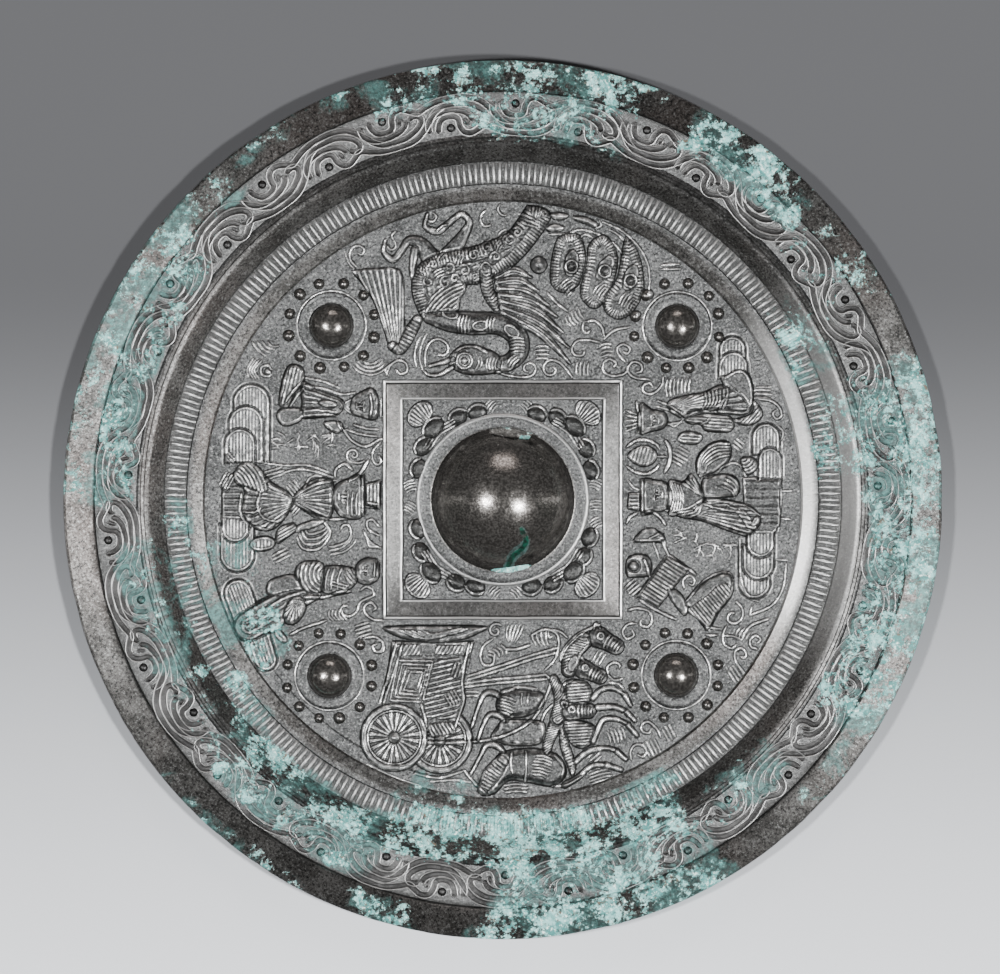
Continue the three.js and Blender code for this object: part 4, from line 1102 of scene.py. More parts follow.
def chariot_box(c):
    """The box and its panels."""
    c.plate([(-27.8, -35.4), (-7, -35.4), (-8.6, -40), (-9.8, -46), (-9.4, -50.6), (-11.6, -57.4),
             (-19.6, -58.4), (-21.6, -53.4), (-30.2, -51.4)], 0.8, 0.6)
    c.plate([(-19.6, -40), (-10.6, -39.4), (-10, -46), (-10.2, -50), (-12, -55.6), (-19.2, -54.6),
             (-20.6, -48)], 0.5, 0.4, hatch(14, 1.15, 0.2), lift=0.5)
    c.plate([(-27, -36), (-20.6, -36), (-20.2, -39.6), (-17.4, -39.8), (-17, -36.2), (-9.8, -36.2),
             (-9.6, -38.8), (-26.4, -39.4)], 0.4, 0.4, hatch(60, 0.9, 0.14), lift=0.5)
    for step in range(4):
        inset = 0.95 * step
        top_left = (-26.2 + 1.1 * inset, -40.2 - inset)
        low_left = (-28.2 + 1.2 * inset, -50.2 + 0.9 * inset)
        c.threads(0.6, 0.4, [[top_left, (-17.4 - 0.8 * inset, -40.4 - inset)],
                             [low_left, (-20.8 - 0.3 * inset, -50.6 + 0.9 * inset)]])
        c.threads(0.6, 0.45, [[top_left, low_left],
                              [(-17.6 - 0.9 * inset, -40.6 - inset),
                               (-20 - 0.5 * inset, -50 + 0.9 * inset)]])
    c.threads(0.7, 0.5, [
        [(-25, -35.8), (-27.2, -43), (-30, -51.4)],
        [(-26.6, -35.8), (-28.6, -43), (-30.8, -51)],
    ])
    c.plate([(-18.8, -56), (-12.4, -55.4), (-11.6, -58.6), (-18.4, -59.6)], 0.5, 0.4,
            hatch(-62, 0.9, 0.24), lift=0.6)
    c.thread([(-8.4, -36), (-10, -44), (-9.6, -50), (-10.8, -54), (-12, -57.6)], 0.8, 0.6)
    c.thread([(-7.6, -35.8), (-9.2, -43.6)], 0.6, 0.4)
    c.tuft(-12.6, -49.6, 120, 3.4, 4, 0.85)
    c.tuft(-11.4, -42.6, 70, 4, 3, 0.9)
    c.thread([(-20.4, -51.4), (-19.4, -54.8), (-19.2, -58)], 0.8, 0.5)
    c.thread([(-10.8, -54.8), (-9, -57.2), (-8, -60.6)], 0.9, 0.6)


def canopy(c):
    """The canopy."""
    c.patch([(-30, -32), (-24, -31.5), (-14, -31.4), (-4, -31.8), (-6, -33.4), (-10, -35), (-16, -36),
             (-22, -35.4), (-27, -34)], 1.5, 0.8)
    c.fan(5, 0.5, 0.35, [(-26, -32.6), (-19.6, -34.8), (-12, -33.4), (-8.6, -32.2)],
          [(1.6, -0.1), (0.6, 0.3), (0.4, 0.3), (-0.6, 0)])


def near_wheel(c):
    """The near wheel."""
    wheel(c, -27.2, -59.5, 8.5, 20, 1.1)


def harness(c):
    """Reins, pole and harness."""
    c.threads(0.8, 0.6, [
        [(-9, -44.3), (0, -41.4), (7, -39), (13.6, -37.1)],
        [(-9, -45.2), (0, -42.4), (7, -40), (13.2, -38.4)],
        [(-9.6, -46), (-2, -45), (5, -44.4), (11, -43.8)],
        [(-9.6, -46.9), (-2, -46), (5, -45.4), (11, -44.9)],
        [(10.4, -42.8), (13, -40), (14, -36.4), (13.6, -33.8), (11.6, -32.6), (9.6, -32.7), (7, -34)],
        [(16.2, -34.6), (14.6, -33.2), (12.4, -32.4)],
        [(9.2, -57), (10.6, -53.4), (12.8, -51)],
    ])
    c.tuft(-7.8, -48.6, 0, 3.2, 2, 0.9)


def horse_bodies(c):
    """The backs, bellies and hind parts of the three horses."""
    for back in ([(-7.8, -57), (-6.2, -52), (-4.4, -48.6), (-1.8, -48.6), (-0.4, -50)],
                 [(-6.2, -60), (-4.8, -56.2), (-3.2, -53.8), (-0.8, -54.2), (0.4, -55.6)],
                 [(-8, -68.6), (-5.8, -64.6), (-4, -61.4), (-1.2, -61.8), (0.6, -63.6)]):
        c.body([(px, py, width) for (px, py), width in zip(back, (0.9, 1.1, 1.5, 1.6, 1.2))], 1.0)
    c.patch([(0, -47.6), (5, -47.4), (9.6, -48.2), (10.4, -50.4), (8.6, -53), (4.6, -54.6), (0, -54.4),
             (-1.8, -51.4)], 1.6, 1.5)
    c.tuft(0.8, -51.6, -18, 4.4, 6, 0.8, 0.2, 0.5, 0.4)
    c.thread([(-0.4, -48), (4, -47), (8.4, -47.4)], 0.9, 0.6)
    c.tuft(5.6, -50, 88, 3, 2, 1.6, 0.2, 0.55, 0.4)
    c.patch([(-1.4, -56.6), (0.4, -55), (6.4, -55), (10.6, -56), (9.4, -61), (2, -61.6), (-3, -59.8)],
            1.0, 1.0, hatch(-72, 2.6, 0.2))
    c.patch([(-1.4, -64), (2, -62.6), (8, -62.2), (13, -63.4), (15.8, -66.4), (15.6, -69.6),
             (12.4, -71.8), (6, -70.8), (1.6, -70.4), (-2, -73.6), (-5.6, -73.8), (-4.8, -69.6)],
            1.7, 1.6)
    c.body([(-0.2, -65.6, 3.4), (-2.6, -68.6, 4.4), (-4.8, -72.4, 3)], 0.9, 3, ribs(0.85, 0.24),
           lift=0.8)
    c.tuft(9.8, -66.8, -14, 5, 7, 0.8, 0.3, 0.5, 0.4)
    c.threads(0.6, 0.4, [
        [(5.8, -63), (5.9, -67), (5.6, -70.4)],
        [(2.2, -63.4), (2, -66), (2.4, -68.4)],
    ])
    c.thread([(13, -63.8), (15.2, -66.4), (14.8, -69.6)], 0.7, 0.5)
    c.thread([(-8, -60.7), (-3, -60), (2.4, -58.2), (7, -55.4), (9.6, -52), (11.2, -48.4), (12, -45.4),
              (10.6, -43.6)], 0.9, 0.6)


def horse_fronts(c):
    """The horses' breasts, necks, manes, heads and forelegs."""
    c.body([(13.4, -56, 3.6), (11.6, -60, 3), (11, -63, 2)], 0.9, 3, slanted(0.7, 0.2, 0.8))
    c.body([(12.8, -45, 2.4), (14.6, -50, 3.6), (13.6, -55, 3.8)], 1.1, 3, slanted(0.7, 0.2, 0.8))
    c.patch([(16.2, -45.4), (20.4, -45.2), (22.4, -47.6), (21.8, -50.6), (19, -51.8), (15.8, -50)],
            1.4, 1.1, hatch(6, 0.8, 0.2))
    c.patch([(15.2, -55.4), (19.4, -55.2), (23.4, -57), (22.4, -60.8), (20, -62.4), (16.6, -60.6)],
            1.4, 1.2, hatch(4, 0.8, 0.2))
    c.patch([(14.2, -57), (15.4, -57.6), (17, -62), (18.4, -66.6), (17.4, -69.4), (15.8, -66),
             (14.4, -62)], 1.0, 0.7, ribs(0.8, 0.16))
    c.body([(16.6, -42.6, 4), (17.4, -38.6, 4.4), (20.6, -35.2, 4.2)], 1.3, 3, slanted(0.75, 0.22, 0.6))
    c.thread([(14.4, -40.4), (15.4, -37.4), (18.6, -34), (22, -32.2), (24.4, -31.2)], 1.0, 0.8)
    c.thread([(19.4, -40.6), (19.6, -38.6), (21.4, -36.4)], 0.7, 0.5)
    horse_head(c, 24, -34.4, -28)
    horse_head(c, 20.2, -42.4, -24, 0.92)
    horse_head(c, 17, -53, 2, 0.92)
    c.plate(oval(17.6, -41, 2.4, 1.4, 70), 0.5, 0.5, lift=1.0)
    c.thread([(14.8, -48), (15.6, -46), (17.6, -45)], 0.8, 0.7)
    forelegs = [
        [(22.6, -49.6), (24.6, -47.6), (27.6, -47.2), (30.6, -49), (32, -51.4)],
        [(23.8, -52), (28, -51.9), (31, -53.2), (33, -55.2)],
        [(22.6, -60.4), (24, -57), (25.4, -55), (28.4, -54.9), (31.4, -56.4), (33.6, -59)],
        [(18.4, -65.4), (21.4, -63), (25.6, -62.2), (28.6, -63), (30.8, -65)],
        [(15.6, -71.4), (19, -69.4), (22, -66.8), (26, -66.4), (29.6, -67.6)],
    ]
    for leg in forelegs:
        widths = np.linspace(1.7, 0.9, len(leg))
        c.body([(px, py, width) for (px, py), width in zip(leg, widths)], 1.1)
    for leg in forelegs:
        c.body([(*leg[-2], 1.5), (*leg[-1], 1.2)], 1.3)
    c.thread([(12.4, -71.8), (16, -71.4), (20, -69.2)], 0.8, 0.5)


def south_clouds(c):
    """Curls, tufts and short lines of cloud."""
    c.fan(5, 0.55, 0.5, [(1.4, -31.4), (0.9, -33.2), (1.2, -35.2)], [(0.95, 0), (0.9, 0), (0.5, -0.1)])
    c.threads(0.75, 0.5, [
        spiral(-1.8, -32.8, 1.9, 40, 440)[::-1],
        [(-2.4, -34.8), (-4.8, -36.6), (-5.6, -39.4), (-4.6, -41.4), (-2.6, -41.2), (-2.2, -39.4),
         (-3.6, -38.8)],
        [(26.4, -44), (26.2, -42), (27.6, -40.8), (29.2, -41.2), (29.2, -42.2)],
        [(26.4, -44), (28, -45.2), (30, -44.8)],
        [(32.2, -65.2), (32, -63), (33.2, -61.4), (35.2, -61.6), (36, -63.2), (35, -64.4),
         (33.8, -63.8)],
        [(39.6, -59.6), (38.6, -57.4), (36.4, -55.6), (34.8, -56.4), (35, -58), (36.6, -58.4),
         (37.2, -57.4)],
    ])
    c.fan(4, 0.6, 0.5, [(-3.4, -37.9), (-2.2, -38.4), (-1.8, -39.8)],
          [(1.0, 0.5), (1.0, 0.3), (0.9, 0.4)])
    c.thread([(0.6, -37.5), (3.6, -37.4), (6.8, -36.4)], 0.9, 0.6)
    c.fan(4, 0.6, 0.5, [(7.2, -33.8), (7.6, -35), (8.4, -36.4)], [(1.2, 0.3), (1.1, 0), (1.0, 0)])
    c.threads(0.6, 0.5, [
        [(11.4, -33.2), (11.6, -34.4), (12.4, -34.3)],
        [(-31.8, -35.4), (-30, -35.6), (-29.9, -37.8), (-31.6, -38.2), (-32.4, -36.8)],
    ])
    c.tuft(3.2, -72.4, 2, 6, 3, 0.9, 0.3)
    c.tuft(24, -39.6, 60, 3.4, 3, 0.95)
    c.tuft(28.4, -59, -72, 3.6, 5, 0.95, 0.2)
    c.thread([(26.4, -45.8), (29, -46.2), (30.4, -47.6)], 0.7, 0.5)
    c.tuft(37.4, -62.2, -64, 4.6, 4, 1.0)
    c.tuft(41.6, -58.4, -62, 3.8, 3, 1.0)
    c.tuft(23, -64.4, 40, 3.6, 3, 0.95)
    c.tuft(24.4, -69.4, 16, 6, 4, 0.85, 0.2)
    c.thread([(-34, -66.2), (-28, -69.2), (-20, -72)], 0.7, 0.35)
    c.thread([(-22, -68.6), (-16, -69.6), (-10, -68)], 0.8, 0.4)
    c.thread([(-9.8, -67.6), (-7, -71), (-4, -74)], 0.9, 0.5)
    c.thread([(-18, -70.6), (-12, -70.2), (-8, -70.8)], 0.6, 0.3)


def draw_south(c):
    """A chariot with a canopy, drawn to the right by three horses."""
    for draw in (far_wheel, chariot_box, canopy, near_wheel, harness, horse_bodies, horse_fronts,
                 south_clouds):
        draw(c)


def half_moon(c, x, y, long_half, short_half):
    """A rounded petal against the knob's pad, painted dark as a dark reflection, with a raised rim on
    its outer side that takes the painted crest highlight.
    """
    turn = math.degrees(math.atan2(y, x))
    x, y = polar(math.hypot(x, y) - 0.6, turn)
    # Painted shade: the petal is painted dark to stand for the dark reflection of a polished dome.
    c.plate(oval(x, y, long_half, short_half, turn + 90), 0.9, 1.5, darkening=0.85)
    arc = [polar(1, step) for step in range(-75, 76, 15)]
    rim = [(short_half * out, long_half * aside) for out, aside in arc]
    c.thread(turned(rim, x, y, turn), 0.65, 0.55)


def draw_square(c):
    """Petals against the pad, tufts at the middles of the sides, leaves and shells in the corners."""
    petals = [(-11.5, 21.2), (-6.5, 22.5), (8.8, 22), (14, 21), (-20.5, 13.6), (-21.7, 8), (-21.9, -7.5),
              (-20.9, -13.4), (21.4, 13.2), (22.6, 7.6), (22.3, -9.6), (20.7, -14.6), (-12, -21.3),
              (-7, -22.3), (7.4, -22.4), (12.8, -21.6)]
    tufts = [(-3, 23.3, 55), (6, 23.3, -50), (-23.3, 3.4, 20), (-23.3, -2, -30), (23.3, 4, -20),
             (23.3, -1.5, 0), (23.4, -6, 30), (-2, -23.3, 50), (3.5, -23.3, -50)]
    for x, y, angle in tufts:
        c.tuft(x, y, angle, 2.8, 4, 0.75, 0.2, 0.5, 0.3)
    for x, y in petals:
        half_moon(c, x, y, 2.55, 2.05)
    for x, y in [(-17.8, 18.4), (18.4, 18.8), (-18.4, -18.6), (18.2, -18.4)]:
        turn = math.degrees(math.atan2(y, x))
        away = math.hypot(x, y)
        shell = oval(*polar(away + 4.2, turn), 3.5, 2.5, turn + 90)
        c.plate(shell, 0.45, 0.5, rays(*polar(away - 3.5, turn), 6.2, 0.22))
        c.thread(shell, 0.55, 0.35)
        for step in range(3):
            reach = away - 1.9 - 0.8 * step
            arc = [polar(reach, turn - 12), polar(reach + 0.5, turn), polar(reach, turn + 12)]
            c.thread(arc, 0.5, 0.35)
        half_moon(c, x, y, 3.1, 2.3)


def draw_bosses(c):
    """Clears the ground round each boss, which has its own mesh, and rings it."""
    for x0, y0 in BOSS_PLACES:
        outline = oval(x0, y0, BOSS_FLANGE_RADIUS + 0.5, BOSS_FLANGE_RADIUS + 0.5)
        c.plate(outline, 0.0)
        c.thread(oval(x0, y0, BOSS_FLANGE_RADIUS, BOSS_FLANGE_RADIUS, 0, 90), 0.5, 0.22)


# ---------------------------------------------------------------- meshes


def patina_at(x, y):
    """Soft amounts of pale crust and of green at points of the back."""
    x, y = np.asarray(x, dtype=float), np.asarray(y, dtype=float)
    radius = np.hypot(x, y)
    angle = np.degrees(np.arctan2(y, x)) % 360
    angle = angle + PATCH_WANDER_DEGREES * noise(x, y, 14)
    radius = radius + PATCH_WANDER * noise(y, x, 9)
    pale = np.zeros(x.shape)
    green = np.zeros(x.shape)
    for start, stop, inner, outer, crust, tint in PATINA:
        middle, half = (start + stop) / 2, (stop - start) / 2
        off = np.abs((angle - middle + 180) % 360 - 180)
        around = smoothstep(half + PATCH_SOFT_DEGREES, half - PATCH_SOFT_DEGREES, off)
        amount = around * band(inner - PATCH_SOFT, inner + PATCH_SOFT,
                               outer - PATCH_SOFT, outer + PATCH_SOFT, radius)
        pale = np.maximum(pale, crust * amount)
        green = np.maximum(green, tint * amount)
    return pale, green


def linked(name, data):
    """A new object in the scene."""
    item = bpy.data.objects.new(name, data)
    bpy.context.scene.collection.objects.link(item)
    return item


def across_finish(vertices):
    """The direction across the scraping marks: they run round the rings and along the square."""
    x, y = vertices[:, 0], vertices[:, 1]
    square = np.maximum(abs(x), abs(y)) < FRAME_OUTER_HALF + 1
    power = np.where(square, 3, 1)
    direction = np.zeros((len(vertices), 3), dtype=np.float32)
    direction[:, 0] = np.sign(x) * abs(x / FRAME_OUTER_HALF) ** power
    direction[:, 1] = np.sign(y) * abs(y / FRAME_OUTER_HALF) ** power
    direction /= np.linalg.norm(direction, axis=1)[:, None] + 1e-12
    return direction


def outward(mesh):
    """Turns the faces of a closed mesh to point out of it."""
    shape = bmesh.new()
    shape.from_mesh(mesh)
    bmesh.ops.recalc_face_normals(shape, faces=shape.faces)
    shape.to_mesh(mesh)
    shape.free()


def solid_mesh(name, vertices, faces, layers, smooth_angle=None):
    """A piece from millimetre vertices, with its named values at every vertex."""
    vertices = np.asarray(vertices, dtype=np.float64)
    sizes = np.array([len(face) for face in faces])
    mesh = bpy.data.meshes.new(name)
    mesh.vertices.add(len(vertices))
    mesh.vertices.foreach_set("co", (vertices * MM).ravel())
    mesh.loops.add(int(sizes.sum()))
    mesh.loops.foreach_set("vertex_index", [corner for face in faces for corner in face])
    mesh.polygons.add(len(faces))
    mesh.polygons.foreach_set("loop_start", np.concatenate([[0], np.cumsum(sizes)[:-1]]))
    mesh.update(calc_edges=True)
    mesh.validate()
    if smooth_angle is not None:
        outward(mesh)
    pale, green = patina_at(vertices[:, 0], vertices[:, 1])
    for layer, values in {"pale": pale, "green": green, **layers}.items():
        attribute = mesh.attributes.new(layer, "FLOAT", "POINT")
        values = np.broadcast_to(values, len(vertices))
        attribute.data.foreach_set("value", np.array(values, dtype=np.float32))
    across = mesh.attributes.new("across_finish", "FLOAT_VECTOR", "POINT")
    across.data.foreach_set("vector", across_finish(vertices).ravel())
    mesh.shade_smooth()
    if smooth_angle is not None:
        mesh.set_sharp_from_angle(angle=math.radians(smooth_angle))
    mesh.materials.append(BRONZE)
    piece = linked(name, mesh)
    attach(piece, "root")
    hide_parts(NODE)
    return piece


def plain_object(name, vertices, faces):
    """An object that is only used to cut another."""
    mesh = bpy.data.meshes.new(name)
    mesh.from_pydata([tuple(map(float, v)) for v in vertices], [], faces)
    mesh.update()
    return linked(name, mesh)


def joined(parts):
    """Several parts, each of them vertices, faces and layers, as one."""
    vertices, faces, layers, base = [], [], {}, 0
    for part_vertices, part_faces, part_layers in parts:
        vertices.append(part_vertices)
        faces.extend([tuple(int(v) + base for v in face) for face in part_faces])
        for layer in LAYERS:
            value = part_layers.get(layer, 0.0)
            layers.setdefault(layer, []).append(np.broadcast_to(value, len(part_vertices)))
        base += len(part_vertices)
    return np.vstack(vertices), faces, {layer: np.concatenate(rows) for layer, rows in layers.items()}


def turned_surface(profile, segments, centre=(0.0, 0.0), wobble=None):
    """A closed lathe of (radius, height) rows that start and end on the axis."""
    angles = np.arange(segments) * 2 * np.pi / segments
    vertices = [(centre[0], centre[1], profile[0][1])]
    for radius, height in profile[1:-1]:
        ring_radius = np.full(segments, float(radius))
        ring_height = np.full(segments, float(height))
        if wobble is not None:
            ring_radius, ring_height = wobble(angles, ring_radius, ring_height)
        vertices.extend(zip(centre[0] + ring_radius * np.cos(angles),
                            centre[1] + ring_radius * np.sin(angles), ring_height))
    vertices.append((centre[0], centre[1], profile[-1][1]))
    faces = []
    last = len(vertices) - 1
    rings = len(profile) - 2
    for s in range(segments):
        t = (s + 1) % segments
        faces.append((0, 1 + t, 1 + s))
        for ring in range(rings - 1):
            a = 1 + ring * segments
            b = a + segments
            faces.append((a + s, a + t, b + t, b + s))
        a = 1 + (rings - 1) * segments
        faces.append((a + s, a + t, last))
    return np.array(vertices), faces


def lofted(rings):
    """A closed skin over rings of points, with a flat end at each end."""
    count = len(rings[0])
    vertices = np.array([point for ring in rings for point in ring])
    faces = [tuple(range(count))[::-1]]
    for row in range(len(rings) - 1):
        a, b = row * count, (row + 1) * count
        for s in range(count):
            t = (s + 1) % count
            faces.append((a + s, a + t, b + t, b + s))
    faces.append(tuple(range((len(rings) - 1) * count, len(rings) * count)))
    return vertices, faces


def filled_profile(corners, spacing):
    """The corners of a profile with more rows put between them."""
    rows = [corners[0]]
    for (r1, z1), (r2, z2) in zip(corners, corners[1:]):
        steps = max(1, int(math.hypot(r2 - r1, z2 - z1) / spacing))
        for step in range(1, steps + 1):
            t = step / steps
            rows.append((r1 + (r2 - r1) * t, z1 + (z2 - z1) * t))
    return rows


def make_casting():
    """The turned body: polished face, rim, ledges, slope, rings and the hidden floor."""
    corners = [
        (0, 0), (FACE_RADIUS - 1, 0), (FACE_RADIUS, 0.25), (MIRROR_RADIUS - 0.1, RIM_TOP - 1.1),
        (MIRROR_RADIUS - 0.25, RIM_TOP - 0.4), (MIRROR_RADIUS - 0.8, RIM_TOP),
        (RIM_INNER_RADIUS + 0.5, RIM_TOP - 0.05), (RIM_INNER_RADIUS + 0.15, RIM_TOP - 0.3),
        (RIM_INNER_RADIUS - 0.2, FRIEZE_GROUND + 0.1), (RIM_INNER_RADIUS - 0.5, FRIEZE_GROUND),
        (FRIEZE_RADIUS + 0.4, FRIEZE_GROUND), (FRIEZE_RADIUS, FRIEZE_GROUND + 0.3),
        (FRIEZE_RADIUS - 0.5, FRIEZE_GROUND + 0.5), (FRIEZE_RADIUS - 0.8, FRIEZE_GROUND + 0.15),
        (RIDGE_OUTER_RADIUS + 0.3, FRIEZE_GROUND + 0.2), (RIDGE_OUTER_RADIUS, RIDGE_TOP),
        (RIDGE_INNER_RADIUS, RIDGE_TOP), (SLOPE_RADIUS, FRIEZE_GROUND + 0.2),
        (COMB_RADIUS + 0.5, COMB_GROUND + 0.4), (COMB_RADIUS, COMB_GROUND),
        (PLAIN_RING_RADIUS + 0.3, COMB_GROUND), (PLAIN_RING_RADIUS, PLAIN_RING_TOP),
        (FIELD_RADIUS + 1.0, PLAIN_RING_TOP + 0.1), (FIELD_RADIUS + 0.5, PLAIN_RING_TOP + 0.15),
        (FIELD_RADIUS, PLAIN_RING_TOP - 0.3), (FIELD_RADIUS - 0.2, HIDDEN_FLOOR),
    ]
    rows = [row for row in filled_profile(corners, 1.6) if row[0] > CASTING_CORE]
    rows = [corners[0], *rows, (CASTING_CORE, HIDDEN_FLOOR), (0, HIDDEN_FLOOR)]

    def wobble(angles, radius, height):
        x, y = radius * np.cos(angles), radius * np.sin(angles)
        if radius[0] > MIRROR_RADIUS - 1.2:
            radius = radius - 0.25 * np.clip(noise(x, y, 7) + 0.1, 0, 1)
        if height[0] > FRIEZE_GROUND - 0.2:
            height = height + 0.05 * noise(x, y, 5)
        return radius, height

    vertices, faces = turned_surface(rows, CASTING_SEGMENTS, wobble=wobble)
    radius = np.hypot(vertices[:, 0], vertices[:, 1])
    raised = smoothstep(RIM_INNER_RADIUS - 0.3, RIM_INNER_RADIUS + 0.3, radius)
    slope = band(COMB_RADIUS - 0.2, COMB_RADIUS + 0.6, RIDGE_INNER_RADIUS - 0.3,
                 RIDGE_INNER_RADIUS + 0.5, radius)
    ledge = band(RIDGE_INNER_RADIUS - 0.3, RIDGE_INNER_RADIUS + 0.1, FRIEZE_RADIUS - 0.4,
                 FRIEZE_RADIUS, radius)
    frieze = band(FRIEZE_RADIUS, FRIEZE_RADIUS + 0.5, RIM_INNER_RADIUS - 0.5, RIM_INNER_RADIUS, radius)
    comb = band(PLAIN_RING_RADIUS, PLAIN_RING_RADIUS + 0.2, COMB_RADIUS, COMB_RADIUS + 0.2, radius)
    ring = smoothstep(PLAIN_RING_RADIUS, PLAIN_RING_RADIUS - 0.2, radius)
    # Painted shade in the corner at the foot of the rim.
    rim_foot = smoothstep(0.6, 0, np.abs(radius - RIM_INNER_RADIUS + 0.3))
    bearing = np.arctan2(vertices[:, 1], vertices[:, 0])
    # A painted highlight on the east side of the slope and the plain ring.
    side_highlight = smoothstep(0.8, 1.0, np.cos(bearing - math.radians(PAINTED_HIGHLIGHT_SIDE)))
    layers = {
        "raised": np.maximum.reduce([raised, slope, ledge * 0.6, ring]),
        "scraped": np.maximum.reduce([raised, slope * 0.85, ledge, ring * 0.75]),
        "worn": 0.03 * frieze + (0.25 * slope + 0.3 * ring) * side_highlight,
        # Dirt with painted shade: in the corner at the rim's foot, on the slope and on the comb's ground
        # between the teeth.
        "dirt_and_shade": rim_foot + slope * 0.1 + comb * 0.65,
    }
    solid_mesh("mirror_casting", vertices, faces, layers, 35)


def make_comb():
    """Radial teeth cut by eye: their widths, lengths and spacing drift round the ring."""
    rng = np.random.default_rng(SEED + 1)
    pitch = 360 / COMB_TEETH
    stations = [(0.0, -0.2), (0.1, 0.85), (0.5, 1.0), (0.9, 0.85), (1.0, -0.2)]
    section = [(-0.5, -0.9), (-0.44, 0.3), (-0.28, 1.0), (0.28, 1.0), (0.44, 0.3), (0.5, -0.9)]
    parts = []
    angle = 0.0
    while angle < 360 - pitch / 2:
        width = pitch * rng.uniform(0.46, 0.58)
        inner = PLAIN_RING_RADIUS + rng.uniform(0, 0.35)
        outer = COMB_RADIUS + rng.uniform(-0.3, 0.1)
        lean = rng.uniform(-0.12, 0.12)
        top = COMB_TOP + rng.uniform(-0.08, 0.04)
        rings = []
        for t, rise in stations:
            radius = inner + (outer - inner) * t
            ring = []
            for side, up in section:
                x, y = polar(radius, angle + width * side + lean * (t - 0.5))
                ring.append((x, y, COMB_GROUND + (top - COMB_GROUND) * min(up, rise)))
            rings.append(ring)
        parts.append((*lofted(rings), {"worn": 0.3}))
        drift = 1 + 0.06 * math.sin(math.radians(3 * angle + 20))
        angle += pitch * drift * rng.uniform(0.95, 1.05)
    vertices, faces, layers = joined(parts)
    solid_mesh("comb_teeth", vertices, faces, layers, 50)


def make_square_frame():
    """The raised square round the knob: a flat band with a bright line along each edge, painted as wear
    and highlight.
    """
    inner, outer, top = FRAME_INNER_HALF, FRAME_OUTER_HALF, FRAME_TOP
    # Across the band: distance from the middle, height, wear with painted highlight, and dirt with
    # painted shade at the feet and in the groove.
    section = [
        (inner - 0.1, GROUND - 0.4, 0, 1), (inner, top - 0.5, 0.2, 1), (inner + 0.2, top - 0.2, 0.5, 0),
        (inner + 0.45, top - 0.2, 0.4, 0), (inner + 0.7, top - 0.35, 0.05, 0.3),
        (inner + 0.85, top - 0.35, 0.05, 0), (outer - 1.25, top - 0.35, 0.05, 0),
        (outer - 1.1, top - 0.35, 0.05, 0), (outer - 0.85, top - 0.5, 0, 1),
        (outer - 0.6, top - 0.1, 0.5, 0), (outer - 0.2, top, 0.5, 0), (outer, top - 0.4, 0.2, 0.6),
        (outer + 0.1, GROUND - 0.4, 0, 1),
    ]
    steps = 60
    corners = [(1, -1), (1, 1), (-1, 1), (-1, -1)]
    rings = []
    for (x0, y0), (x1, y1) in zip(corners, corners[1:] + corners[:1]):
        for step in range(steps):
            t = step / steps
            x, y = x0 + (x1 - x0) * t, y0 + (y1 - y0) * t
            ring = []
            for half, height, _, _ in section:
                px, py = x * half, y * half
                sway = 0.12 * noise(px, py, 9)
                ring.append((px + sway * abs(y1 - y0) / 2, py + sway * abs(x1 - x0) / 2,
                             height + 0.07 * float(noise(py, px, 3)) * (height > GROUND)))
            rings.append(ring)
    count, total = len(section), len(rings)
    vertices = np.array([point for ring in rings for point in ring])
    faces = []
    for row in range(total):
        a, b = row * count, (row + 1) % total * count
        for s in range(count):
            t = (s + 1) % count
            faces.append((a + s, b + s, b + t, a + t))
    layers = {"worn": np.tile([row[2] for row in section], total),
              "dirt_and_shade": np.tile([row[3] for row in section], total),
              "raised": 0.8, "scraped": 0.8}
    solid_mesh("square_frame", vertices, faces, layers, 40)


def bore_rings():
    """Cross-sections of the cord hole, from the low south mouth to the chipped north one."""
    rng = np.random.default_rng(SEED + 2)
    floor = PAD_TOP + 0.12
    # Place along the bore, width, height of the straight sides, and rise of the arch on them.
    stations = [
        (-23, 9.8, 0.1, 1.6), (-17.6, 9.8, 0.1, 1.6), (-16, 9.3, 0.35, 1.6), (-13, 8.4, 1.6, 2.4),
        (0, 8.2, 1.8, 2.6), (12, 8.4, 1.8, 2.6), (14.6, 9, 1.8, 2.4), (15.6, 9.8, 1.8, 2.3),
        (16.6, 10.6, 1.6, 2.2), (23, 11, 1.6, 2.2),
    ]
    rings = []
    for y, width, side, arch in stations:
        chip = CHIPPED if y > CHIPPED_FROM else UNCHIPPED
        section = [(-width / 2, floor), (width / 2, floor)]
        for angle in np.linspace(0, 180, 11):
            across, up = polar(1, angle)
            section.append((width / 2 * across, floor + side + arch * up + rng.uniform(-chip, chip)))
        rings.append([(BORE_X + x, y + rng.uniform(-chip, chip), z) for x, z in section])
    return rings


